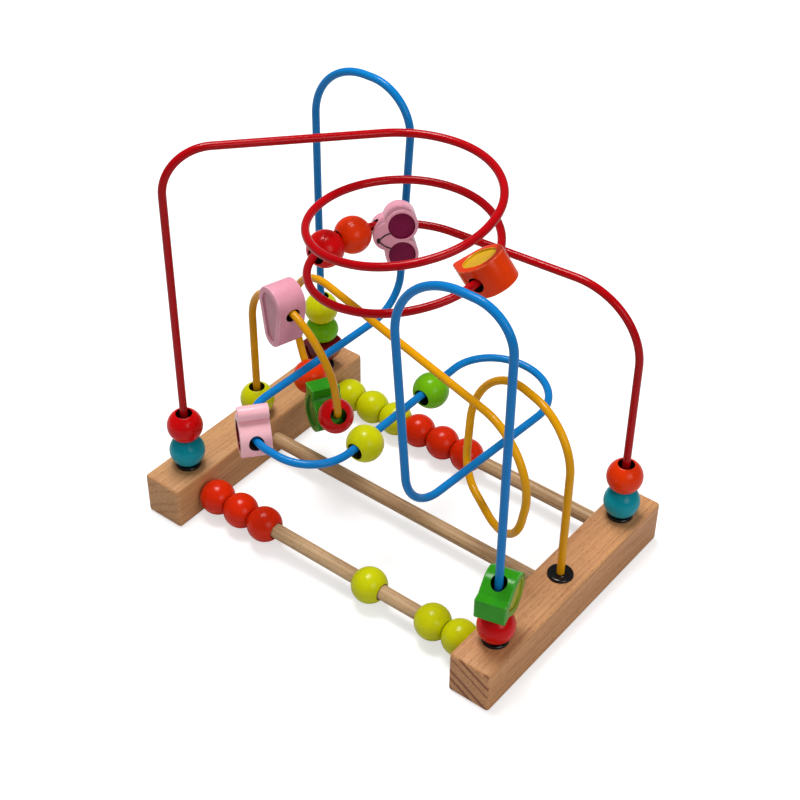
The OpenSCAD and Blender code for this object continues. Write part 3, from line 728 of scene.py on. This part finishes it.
def bead_profile(length):
    """A bead's closed profile: a bulging side and two bore edges with a small round."""
    side_radius = BEAD_DIAMETER / 2 if length == BEAD_LENGTH else length / 2
    middle = BEAD_DIAMETER / 2 - side_radius
    inner = BEAD_BORE / 2
    top = math.degrees(math.acos((inner + BORE_ROUND - middle) / side_radius))
    end = side_radius * math.sin(math.radians(top)) - BORE_ROUND
    points = arc((middle, 0), side_radius, SIDE_TRIM - top, top - SIDE_TRIM, 28)
    points += arc((inner + BORE_ROUND, end), BORE_ROUND, 90, 180, 4)
    points += [(inner, end * t) for t in (0.5, 0, -0.5)]
    points += arc((inner + BORE_ROUND, -end), BORE_ROUND, 180, 270, 4)
    return points


def bead(node, matrix, slot, length=BEAD_LENGTH):
    name = "turned_" + node
    obj = grown(name, turned_mesh(name, bead_profile(length), BEAD_BORE), turned_piece,
                {"Core Diameter": BEAD_BORE * MM, "Steps": 56, "Spread X": 0.0, "Spread Y": 0.0,
                 "Rows X": 1, "Rows Y": 1, "Finish": LACQUERS[slot]})
    place = in_metres(matrix)
    obj.data.transform(place)
    tidy_normals(obj.data, 50)
    mark_bore_shade(obj.data, place, BEAD_BORE)
    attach(obj, node)
    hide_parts(node)


def left_bead_x(n):
    return -INNER_FACE + REST_GAP + BEAD_LENGTH / 2 + (n - 1) * BEAD_STEP


LOOSE_BEAD_X = 30.0
for n in range(1, 7):
    x = left_bead_x(n) if n <= 3 else LOOSE_BEAD_X if n == 4 else -left_bead_x(7 - n)
    bead("front_bead_%d" % n, on_dowel(x, -1), "scarlet_bead" if n <= 3 else "yellow_bead")
    bead("rear_bead_%d" % n, on_dowel(left_bead_x(n), 1),
         "yellow_bead" if n <= 3 else "scarlet_bead")


def post_z(n):
    return POST_SEAT + BEAD_LENGTH / 2 + (n - 1) * BEAD_STEP


bead("coil_left_teal_bead", on_post(-1, -1, post_z(1)), "teal_bead")
bead("coil_left_red_bead", on_post(-1, -1, post_z(2)), "red_bead")
bead("coil_right_teal_bead", on_post(1, 1, post_z(1)), "teal_bead")
bead("coil_right_orange_bead", on_post(1, 1, post_z(2)), "orange_bead")
bead("loop_lime_bead", on_post(-1, 0, post_z(1)), "yellow_bead")
bead("post_red_bead", on_post(1, -1, post_z(1)), "red_bead")

STRAWBERRY_LENGTH = 22.0
lime_z = POST_SEAT + STRAWBERRY_LENGTH + REST_GAP + FLAT_BEAD_LENGTH / 2
bead("post_lime_bead", on_post(-1, 1, lime_z), "lime_bead", FLAT_BEAD_LENGTH)
bead("post_yellow_bead", on_post(-1, 1, lime_z + (FLAT_BEAD_LENGTH + BEAD_LENGTH) / 2 + REST_GAP),
     "yellow_bead")

# Places on the coil, counted back from its end
LOBE_RADIUS, LOBE_REACH, CHERRY_POCKET, CHERRY_BORE_RISE = 10.5, 9.5, 8.5, 6.0
STEM_REACH, STEM_RADIUS, STEM_DROP = 8.5, 9.5, 3.0
CHERRY_PLACE = 38.0
CHERRY_LENGTH = LOBE_RADIUS + STEM_REACH + STEM_RADIUS
bead_end = math.sqrt(BEAD_DIAMETER ** 2 - BEAD_LENGTH ** 2) / 2
coil_room = COIL_RADIUS / (COIL_RADIUS - bead_end)
cherry_run = coil.run_to(COIL_BENDS + 1) - CHERRY_PLACE
orange_bead_run = cherry_run - ((CHERRY_LENGTH + BEAD_LENGTH) / 2 + REST_GAP) * coil_room
red_bead_run = orange_bead_run - BEAD_STEP * coil_room
bead("coil_orange_bead", hanging(on_coil(orange_bead_run), BEAD_LENGTH, BEAD_BORE), "orange_bead")
bead("coil_red_bead", hanging(on_coil(red_bead_run), BEAD_LENGTH, BEAD_BORE), "red_bead")

# Places on the low run of the left loop
PEAR_RADIUS, NECK_RADIUS, NECK_REACH = 13.5, 6.0, 13.0
CAP_REACH, CAP_WIDTH, CAP_LENGTH, PEAR_BORE_REACH = 20.5, 14.0, 6.5, 6.0
PEAR_PLACE, PEAR_PLAY, LOW_LEG = 4.5, 2.8, 3
low_half = loop.leg_length(LOW_LEG) / 2
pear_run = loop.run_to(LOW_LEG) + low_half + PEAR_PLACE
pear_to_bead = PEAR_RADIUS + PEAR_PLAY + BEAD_LENGTH / 2
pear_rise = max(max(0, PEAR_RADIUS + PEAR_PLACE - low_half) ** 2 / LOOP_BENDS[LOW_LEG + 1] / 2,
                max(0, PEAR_RADIUS - PEAR_PLACE - low_half) ** 2 / LOOP_BENDS[LOW_LEG] / 2)
for node, run, slot in (("loop_red_bead", pear_run - pear_to_bead, "red_bead"),
                        ("loop_orange_bead", pear_run + pear_to_bead, "orange_bead")):
    bead(node, hanging(loop.along(run), BEAD_LENGTH, BEAD_BORE), slot)

# Places on the middle run of the winding wire
MIDDLE_RUN, FRONT_RETURN, RUN_YELLOW_Y, RUN_LIME_Y = 5, 84.0, -37.0, 31.0
run_start = winding.set_back(MIDDLE_RUN) - FRONT_RETURN
for node, y, slot in (("run_yellow_bead", RUN_YELLOW_Y, "yellow_bead"),
                      ("run_lime_bead", RUN_LIME_Y, "lime_bead")):
    bead(node, hanging(winding.on_leg(MIDDLE_RUN, y - run_start), BEAD_LENGTH, BEAD_BORE), slot)


# Fruit pieces: an outline with rounded edges, pockets in both faces and a bore

def disc(x, z, radius, steps=64):
    return [Vector((x + radius * math.cos(2 * math.pi * k / steps),
                    z + radius * math.sin(2 * math.pi * k / steps))) for k in range(steps)]


def hull_of(points):
    """The convex outline around points, turning anticlockwise."""
    points = sorted((p.x, p.y) for p in points)

    def chain(run):
        out = []
        for p in run:
            while len(out) > 1 and ((out[-1][0] - out[-2][0]) * (p[1] - out[-2][1])
                                    - (out[-1][1] - out[-2][1]) * (p[0] - out[-2][0])) <= 0:
                out.pop()
            out.append(p)
        return out[:-1]
    return [Vector(p) for p in chain(points) + chain(points[::-1])]


def ray_exit(shape, eye, way):
    """How far a ray from a point inside a convex outline runs before it leaves."""
    best = 0.0
    for k, a in enumerate(shape):
        b = shape[(k + 1) % len(shape)]
        edge = b - a
        cross = way.x * edge.y - way.y * edge.x
        if abs(cross) < 1e-12:
            continue
        gap = a - eye
        t = (gap.x * edge.y - gap.y * edge.x) / cross
        u = (gap.x * way.y - gap.y * way.x) / cross
        if t > 0 and -1e-9 <= u <= 1 + 1e-9:
            best = max(best, t)
    return best


def joined_outline(shapes, eye, count=132):
    """The outline of convex shapes that share the point eye, evenly spaced along its length."""
    eye = Vector(eye)
    rays = 1440
    dense = []
    for k in range(rays):
        way = Vector((math.cos(2 * math.pi * k / rays), math.sin(2 * math.pi * k / rays)))
        dense.append(eye + way * max(ray_exit(s, eye, way) for s in shapes))
    lengths = [(dense[(k + 1) % rays] - dense[k]).length for k in range(rays)]
    step = sum(lengths) / count
    out, walked = [], 0.0
    for k in range(rays):
        if walked <= 1e-9:
            out.append(dense[k])
            walked += step
        walked -= lengths[k]
    return out[:count]


def inset(outline, distance):
    """The outline moved inwards along its vertex normals."""
    out = []
    count = len(outline)
    for k, p in enumerate(outline):
        along = (outline[(k + 1) % count] - outline[k - 1]).normalized()
        out.append(p + Vector((-along.y, along.x)) * distance)
    return out


def bevelled_slab(outline, pockets):
    """A slab with rounded edges, whose outline lies in local X and Z, with pockets in both faces."""
    bm = bmesh.new()
    half = PIECE_THICKNESS / 2
    steps = 5
    sides = []
    for sign in (-1, 1):
        rings = []
        for k in range(steps + 1):
            a = math.pi / 2 * k / steps
            ring = inset(outline, PIECE_ROUND * (1 - math.cos(a)))
            y = sign * (half - PIECE_ROUND + PIECE_ROUND * math.sin(a))
            rings.append([bm.verts.new(Vector((p.x, y, p.y)) * MM) for p in ring])
        for a, b in zip(rings, rings[1:]):
            stitch(bm, a, b)
        sides.append(rings[0])
        loops = [rings[-1]]
        for pocket in pockets:
            lip = [bm.verts.new(Vector((p.x, sign * half, p.y)) * MM) for p in pocket]
            shelf = inset(pocket, POCKET_LIP)
            wall, floor = ([bm.verts.new(Vector((p.x, sign * (half - depth), p.y)) * MM) for p in shelf]
                           for depth in (POCKET_LIP, POCKET_DEPTH))
            stitch(bm, lip, wall)
            stitch(bm, wall, floor)
            bm.faces.new(floor)
            loops.append(lip)
        verts = [v for ring in loops for v in ring]
        flat = [[Vector((v.co.x, v.co.z, 0)) for v in ring] for ring in loops]
        for triangle in tessellate_polygon(flat):
            bm.faces.new([verts[i] for i in triangle])
    stitch(bm, sides[0], sides[1])
    bmesh.ops.recalc_face_normals(bm, faces=bm.faces)
    return bm


def mark_edge_highlight(mesh, pockets):
    """Writes into the "edge" attribute how far a vertex lies on the slab's rounded edge, where the paint
    is lightened as a painted highlight.
    """
    marks = mesh.attributes.new("edge", "FLOAT", "POINT")
    for vertex in mesh.vertices:
        spot = Vector((vertex.co.x, vertex.co.z)) / MM
        t = (abs(vertex.co.y) / MM - PIECE_THICKNESS / 2 + PIECE_ROUND) / PIECE_ROUND
        on_round = 0 < t < 1 and not any(inside(spot, pocket) for pocket in pockets)
        marks.data[vertex.index].value = math.sin(math.pi * t) if on_round else 0.0


def stitch(bm, a, b):
    count = len(a)
    for k in range(count):
        bm.faces.new((a[k], a[(k + 1) % count], b[(k + 1) % count], b[k]))


def inside(point, outline):
    hit = False
    for k, a in enumerate(outline):
        b = outline[k - 1]
        if (a.y > point.y) != (b.y > point.y):
            if point.x < (b.x - a.x) * (point.y - a.y) / (b.y - a.y) + a.x:
                hit = not hit
    return hit


DRILL_OVERRUN = 6.0


def fruit(node, matrix, slot, pocket_paint, outline, pockets, length, paint=None):
    """A fruit piece. Its bore runs along local Z and is drilled through the given length."""
    name = "shaped_" + node
    bm = bevelled_slab(outline, pockets)
    mesh = bpy.data.meshes.new(name)
    bm.to_mesh(mesh)
    bm.free()
    obj = new_object(name, mesh)
    drill_mesh = bpy.data.meshes.new("drill")
    bm = bmesh.new()
    bmesh.ops.create_cone(bm, cap_ends=True, segments=48, radius1=PIECE_BORE / 2 * MM,
                          radius2=PIECE_BORE / 2 * MM, depth=(length + DRILL_OVERRUN) * MM)
    bm.to_mesh(drill_mesh)
    bm.free()
    drill = new_object("drill", drill_mesh)
    cut = obj.modifiers.new("bore", "BOOLEAN")
    cut.operation = "DIFFERENCE"
    cut.solver = "EXACT"
    cut.object = drill
    made = evaluated_mesh(obj)
    obj.modifiers.remove(cut)
    obj.data = made
    bpy.data.objects.remove(drill)
    made.materials.clear()
    made.materials.append(paint or LACQUERS[slot])
    made.materials.append(POCKET_PAINTS[pocket_paint])
    half = PIECE_THICKNESS / 2
    for face in made.polygons:
        c = face.center / MM
        sunk = half - POCKET_DEPTH - HAIR < abs(c.y) < half - HAIR
        in_pocket = sunk and any(inside(Vector((c.x, c.z)), p) for p in pockets)
        face.material_index = 1 if in_pocket else 0
    tidy_normals(made, 38)
    mark_bore_shade(made, Matrix.Identity(4), PIECE_BORE)
    mark_edge_highlight(made, pockets)
    made.transform(in_metres(matrix))
    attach(obj, node)
    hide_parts(node)


# Apple on the blue wire
APPLE_RADIUS, APPLE_BORE_RISE, CROWN_RADIUS, CROWN_SINK = 14.5, 4.0, 5.0, 1.0
FRONT_BEND, APPLE_TURN = 4, math.radians(57)
crown_reach = APPLE_RADIUS + CROWN_RADIUS - CROWN_SINK - APPLE_BORE_RISE
apple_bore_length = 2 * math.sqrt(APPLE_RADIUS ** 2 - APPLE_BORE_RISE ** 2)
fruit("return_apple_piece",
      hanging(winding.on_bend(FRONT_BEND, APPLE_TURN), apple_bore_length, PIECE_BORE),
      "pink_fruit", "wine",
      joined_outline([disc(-APPLE_BORE_RISE, 0, APPLE_RADIUS), disc(crown_reach, 0, CROWN_RADIUS)],
                     (crown_reach - CROWN_RADIUS + CROWN_SINK / 2, 0), 168),
      [disc(-APPLE_BORE_RISE, 0, APPLE_RADIUS - POCKET_WALL)], 2 * APPLE_RADIUS, rose_paint)

# Plum on top of the left loop
PLUM_RADIUS, PLUM_TIP_RADIUS, PLUM_STRETCH, PLUM_BORE_DROP = 13.0, 8.5, 23.5, 4.5
TOP_LEG = 1


def plum_outline(wall):
    return hull_of(disc(PLUM_BORE_DROP, 0, PLUM_RADIUS - wall)
                   + disc(PLUM_BORE_DROP - PLUM_STRETCH, 0, PLUM_TIP_RADIUS - wall))


plum_run = loop.run_to(TOP_LEG) + loop.leg_length(TOP_LEG) / 2
fruit("loop_plum_piece", hanging(loop.along(plum_run), 2 * PLUM_RADIUS, PIECE_BORE),
      "pink_fruit", "mauve", joined_outline([plum_outline(0)], (0, 0)), [plum_outline(POCKET_WALL)],
      2 * PLUM_RADIUS)

# Pears
POST_PEAR_ROLL = math.radians(-75)


def pear_body(wall):
    return hull_of(disc(-PEAR_BORE_REACH, 0, PEAR_RADIUS - wall)
                   + disc(NECK_REACH - PEAR_BORE_REACH, 0, NECK_RADIUS - wall))


# A point inside both the body and the cap, measured from the cap's end
PEAR_EYE = 4.5
cap_end = CAP_REACH - PEAR_BORE_REACH
pear_cap = [Vector(p) for p in ((cap_end - CAP_LENGTH, -CAP_WIDTH / 2), (cap_end, -CAP_WIDTH / 2),
                                (cap_end, CAP_WIDTH / 2), (cap_end - CAP_LENGTH, CAP_WIDTH / 2))]
pear_outline = joined_outline([pear_body(0), pear_cap], (cap_end - PEAR_EYE, 0))
# The loop pear's pocket takes the darker copy of the olive paint: painted shade
fruit("loop_pear_piece", hanging(loop.along(pear_run), 2 * PEAR_RADIUS, PIECE_BORE, lift=pear_rise),
      "green_fruit", "shaded_olive", pear_outline, [pear_body(POCKET_WALL)], 2 * PEAR_RADIUS)
fruit("post_pear_piece",
      on_post(1, -1, POST_SEAT + BEAD_STEP + PEAR_RADIUS) @ Matrix.Rotation(POST_PEAR_ROLL, 4, "Z"),
      "green_fruit", "olive", pear_outline, [pear_body(POCKET_WALL)], 2 * PEAR_RADIUS)

# Strawberry on the rear left post
SHOULDER_RADIUS, SHOULDER_REACH, TIP_RADIUS = 6.5, 5.5, 7.5


def strawberry_outline(wall):
    points = disc(0, TIP_RADIUS - STRAWBERRY_LENGTH / 2, TIP_RADIUS - wall)
    for side in (-1, 1):
        points += disc(side * SHOULDER_REACH, STRAWBERRY_LENGTH / 2 - SHOULDER_RADIUS,
                       SHOULDER_RADIUS - wall)
    return hull_of(points)


fruit("strawberry_piece", on_post(-1, 1, POST_SEAT + STRAWBERRY_LENGTH / 2), "crimson_fruit", "garnet",
      joined_outline([strawberry_outline(0)], (0, 0)), [strawberry_outline(POCKET_WALL)],
      STRAWBERRY_LENGTH)

# Orange on the coil
ORANGE_RADIUS, ORANGE_STRETCH, POINT_RADIUS, POINT_REACH = 13.5, 4.0, 2.5, 19.0
ORANGE_PLACE, ORANGE_ROLL = 500.0, math.radians(33)


def orange_body(wall):
    return (disc(-ORANGE_STRETCH / 2, 0, ORANGE_RADIUS - wall)
            + disc(ORANGE_STRETCH / 2, 0, ORANGE_RADIUS - wall))


coil_start = coil.run_to(1) + coil.leg_length(1)
orange_place = on_coil(coil_start + ORANGE_PLACE)
fruit("orange_piece",
      hanging(orange_place, 2 * ORANGE_RADIUS, PIECE_BORE,
              UP * math.sin(ORANGE_ROLL) - orange_place[2] * math.cos(ORANGE_ROLL)),
      "orange_fruit", "ochre",
      joined_outline([hull_of(orange_body(0) + disc(-POINT_REACH, 0, POINT_RADIUS))], (0, 0)),
      [hull_of(orange_body(POCKET_WALL))], 2 * ORANGE_RADIUS)

# Cherries on the coil, with their painted stems
# A point inside both lobes and the stem's bar, measured from the lobes' middles
CHERRY_EYE = 2.0
CHERRY_LEAN = math.radians(12)
lobe_z = CHERRY_LENGTH / 2 - LOBE_RADIUS
cherry_place = on_coil(cherry_run)
cherry_matrix = hanging(cherry_place, CHERRY_LENGTH, PIECE_BORE,
                        UP * math.cos(CHERRY_LEAN) - cherry_place[2] * math.sin(CHERRY_LEAN))
lobes = [(side * LOBE_REACH - CHERRY_BORE_RISE, lobe_z) for side in (-1, 1)]
stem_end = lobe_z - STEM_REACH
bar_low, bar_high = -STEM_DROP - STEM_RADIUS, STEM_RADIUS - STEM_DROP
stem_bar = [Vector(p) for p in ((bar_low, stem_end), (bar_high, stem_end),
                                (bar_high, lobe_z), (bar_low, lobe_z))]
fruit("cherry_piece", cherry_matrix, "pink_fruit", "purple",
      joined_outline([disc(*spot, LOBE_RADIUS) for spot in lobes]
                     + [stem_bar, disc(-STEM_DROP, stem_end, STEM_RADIUS)],
                     (-CHERRY_BORE_RISE, lobe_z - CHERRY_EYE), 168),
      [disc(*spot, CHERRY_POCKET, 48) for spot in lobes], CHERRY_LENGTH)

# The stems as painted lines on both faces, which meet in a knot
STEM_LINE, STEM_BOW, STEM_LIFT, STEM_SINK = 0.9, 0.9, 0.1, 0.3
KNOT_SIZE, KNOT_DROP, KNOT_REACH = (1.9, 0.7, 1.2), 2.5, 6.2
KNOT = Vector((-STEM_DROP - KNOT_DROP, stem_end - KNOT_REACH))


def stem_points(lobe, face):
    """A stem's path on one face, from a pocket's edge to the knot."""
    middle = Vector(lobe)
    fruit_end = middle + (KNOT - middle).normalized() * (CHERRY_POCKET - STEM_SINK)
    bow = math.copysign(STEM_BOW, lobe[0] + CHERRY_BORE_RISE)
    out = []
    for k in range(9):
        t = k / 8
        p = fruit_end.lerp(KNOT, t) + Vector((bow * math.sin(math.pi * t), 0))
        out.append(cherry_matrix @ Vector((p.x, face * (PIECE_THICKNESS / 2 + STEM_LIFT), p.y)) * MM)
    return out


stems = []
for face in (-1, 1):
    for lobe in lobes:
        stems.append(grown("stem", polyline("stem", stem_points(lobe, face)), round_stock,
                           {"Diameter": STEM_LINE * MM, "Sides": 8, "Finish": stem_ink}))
bm = bmesh.new()
for stem in stems:
    bm.from_mesh(stem.data)
    bpy.data.objects.remove(stem)
for face in (-1, 1):
    knot = bmesh.ops.create_uvsphere(bm, u_segments=16, v_segments=8, radius=1.0)["verts"]
    spot = cherry_matrix @ Vector((KNOT.x, face * PIECE_THICKNESS / 2, KNOT.y))
    turn = cherry_matrix.to_3x3() @ Matrix.Diagonal(KNOT_SIZE)
    bmesh.ops.transform(bm, matrix=Matrix.Translation(spot * MM) @ (turn * MM).to_4x4(), verts=knot)
stem_mesh = bpy.data.meshes.new("cherry_stems")
bm.to_mesh(stem_mesh)
bm.free()
tidy_normals(stem_mesh, 60)
stem_mesh.materials.clear()
stem_mesh.materials.append(stem_ink)
cherry_stems = new_object("cherry_stems", stem_mesh)
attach(cherry_stems, "cherry_piece")


# Floor, light and camera

FLOOR_SIZE, FLOOR_GREY = 6.0, 0.6
GLOW_REACH, GLOW = (0.3, 2.4), (0.58, 0.8)
WORLD_LIGHT, MIRRORED_LIGHT = 0.36, 0.15
LIGHT_TARGET = (0, 0, 0.1)
AZIMUTH, ELEVATION, ROLL = (math.radians(a) for a in (37.86, 39.204, 0.6025))
VIEW_TARGET, VIEW_DISTANCE = Vector((-36.94, 45.71, 60.0)), 1098.84
SENSOR, FOCAL_SHARE = 36.0, 1608.78 / 800


def plain_floor():
    """A white floor. It looks brighter to the camera alone, and more so away from the object."""
    mesh = bpy.data.meshes.new("studio_floor")
    bm = bmesh.new()
    bmesh.ops.create_grid(bm, x_segments=1, y_segments=1, size=FLOOR_SIZE)
    bm.to_mesh(mesh)
    bm.free()
    material = bpy.data.materials.new("studio white")
    material.use_nodes = True
    tree = material.node_tree
    tree.nodes.remove(tree.nodes["Principled BSDF"])
    diffuse = tree.nodes.new("ShaderNodeBsdfDiffuse")
    diffuse.inputs["Color"].default_value = (FLOOR_GREY, FLOOR_GREY, FLOOR_GREY, 1)
    glow = tree.nodes.new("ShaderNodeEmission")
    middle = tree.nodes.new("ShaderNodeVectorMath")
    middle.operation = "LENGTH"
    tree.links.new(tree.nodes.new("ShaderNodeTexCoord").outputs["Object"], middle.inputs[0])
    far = remap(tree, middle.outputs["Value"], *GLOW_REACH, *GLOW)
    tree.links.new(far, glow.inputs["Strength"])
    seen = tree.nodes.new("ShaderNodeLightPath")
    dark = tree.nodes.new("ShaderNodeEmission")
    dark.inputs["Strength"].default_value = 0.0
    pick = tree.nodes.new("ShaderNodeMixShader")
    add = tree.nodes.new("ShaderNodeAddShader")
    tree.links.new(seen.outputs["Is Camera Ray"], pick.inputs[0])
    tree.links.new(dark.outputs[0], pick.inputs[1])
    tree.links.new(glow.outputs[0], pick.inputs[2])
    tree.links.new(diffuse.outputs[0], add.inputs[0])
    tree.links.new(pick.outputs[0], add.inputs[1])
    tree.links.new(add.outputs[0], tree.nodes["Material Output"].inputs["Surface"])
    mesh.materials.append(material)
    floor = new_object("studio_floor", mesh)


def softbox(name, place, size, power):
    data = bpy.data.lights.new(name, "AREA")
    data.shape = "SQUARE"
    data.size = size
    data.energy = power
    lamp = bpy.data.objects.new(name, data)
    lamp.location = place
    lamp.rotation_euler = (Vector(LIGHT_TARGET) - Vector(place)).to_track_quat("-Z", "Y").to_euler()
    bpy.context.scene.collection.objects.link(lamp)


def studio_world():
    """Even light from all round, dim in mirrored rays and white to the camera."""
    world = bpy.data.worlds.new("studio")
    bpy.context.scene.world = world
    world.use_nodes = True
    tree = world.node_tree
    light = tree.nodes["Background"]
    light.inputs["Color"].default_value = (1, 1, 1, 1)
    light.inputs["Strength"].default_value = WORLD_LIGHT
    white = tree.nodes.new("ShaderNodeBackground")
    white.inputs["Color"].default_value = (1, 1, 1, 1)
    white.inputs["Strength"].default_value = 1.0
    seen = tree.nodes.new("ShaderNodeLightPath")
    pick = tree.nodes.new("ShaderNodeMixShader")
    dim = tree.nodes.new("ShaderNodeBackground")
    dim.inputs["Color"].default_value = (1, 1, 1, 1)
    dim.inputs["Strength"].default_value = MIRRORED_LIGHT
    mirrored = tree.nodes.new("ShaderNodeMixShader")
    tree.links.new(seen.outputs["Is Glossy Ray"], mirrored.inputs[0])
    tree.links.new(light.outputs[0], mirrored.inputs[1])
    tree.links.new(dim.outputs[0], mirrored.inputs[2])
    tree.links.new(seen.outputs["Is Camera Ray"], pick.inputs[0])
    tree.links.new(mirrored.outputs[0], pick.inputs[1])
    tree.links.new(white.outputs[0], pick.inputs[2])
    tree.links.new(pick.outputs[0], tree.nodes["World Output"].inputs["Surface"])


def studio_camera():
    back = Vector((math.sin(AZIMUTH) * math.cos(ELEVATION), -math.cos(AZIMUTH) * math.cos(ELEVATION),
                   math.sin(ELEVATION)))
    right = (-back).cross(UP).normalized()
    down = (-back).cross(right)
    side = math.cos(ROLL) * right - math.sin(ROLL) * down
    low = math.sin(ROLL) * right + math.cos(ROLL) * down
    data = bpy.data.cameras.new("studio_camera")
    data.sensor_width = SENSOR
    data.lens = SENSOR * FOCAL_SHARE
    data.clip_start = 0.05
    camera = bpy.data.objects.new("studio_camera", data)
    turn = Matrix((side, -low, back)).transposed().to_4x4()
    spot = (VIEW_TARGET + back * VIEW_DISTANCE) * MM
    camera.matrix_world = Matrix.Translation(spot) @ turn
    bpy.context.scene.collection.objects.link(camera)
    bpy.context.scene.camera = camera


plain_floor()
studio_world()
softbox("key", (-0.35, 0.1, 1.9), size=0.7, power=31)
softbox("fill", (1.5, -0.5, 1.1), size=0.9, power=8)
studio_camera()
bpy.context.scene.view_settings.view_transform = "Standard"
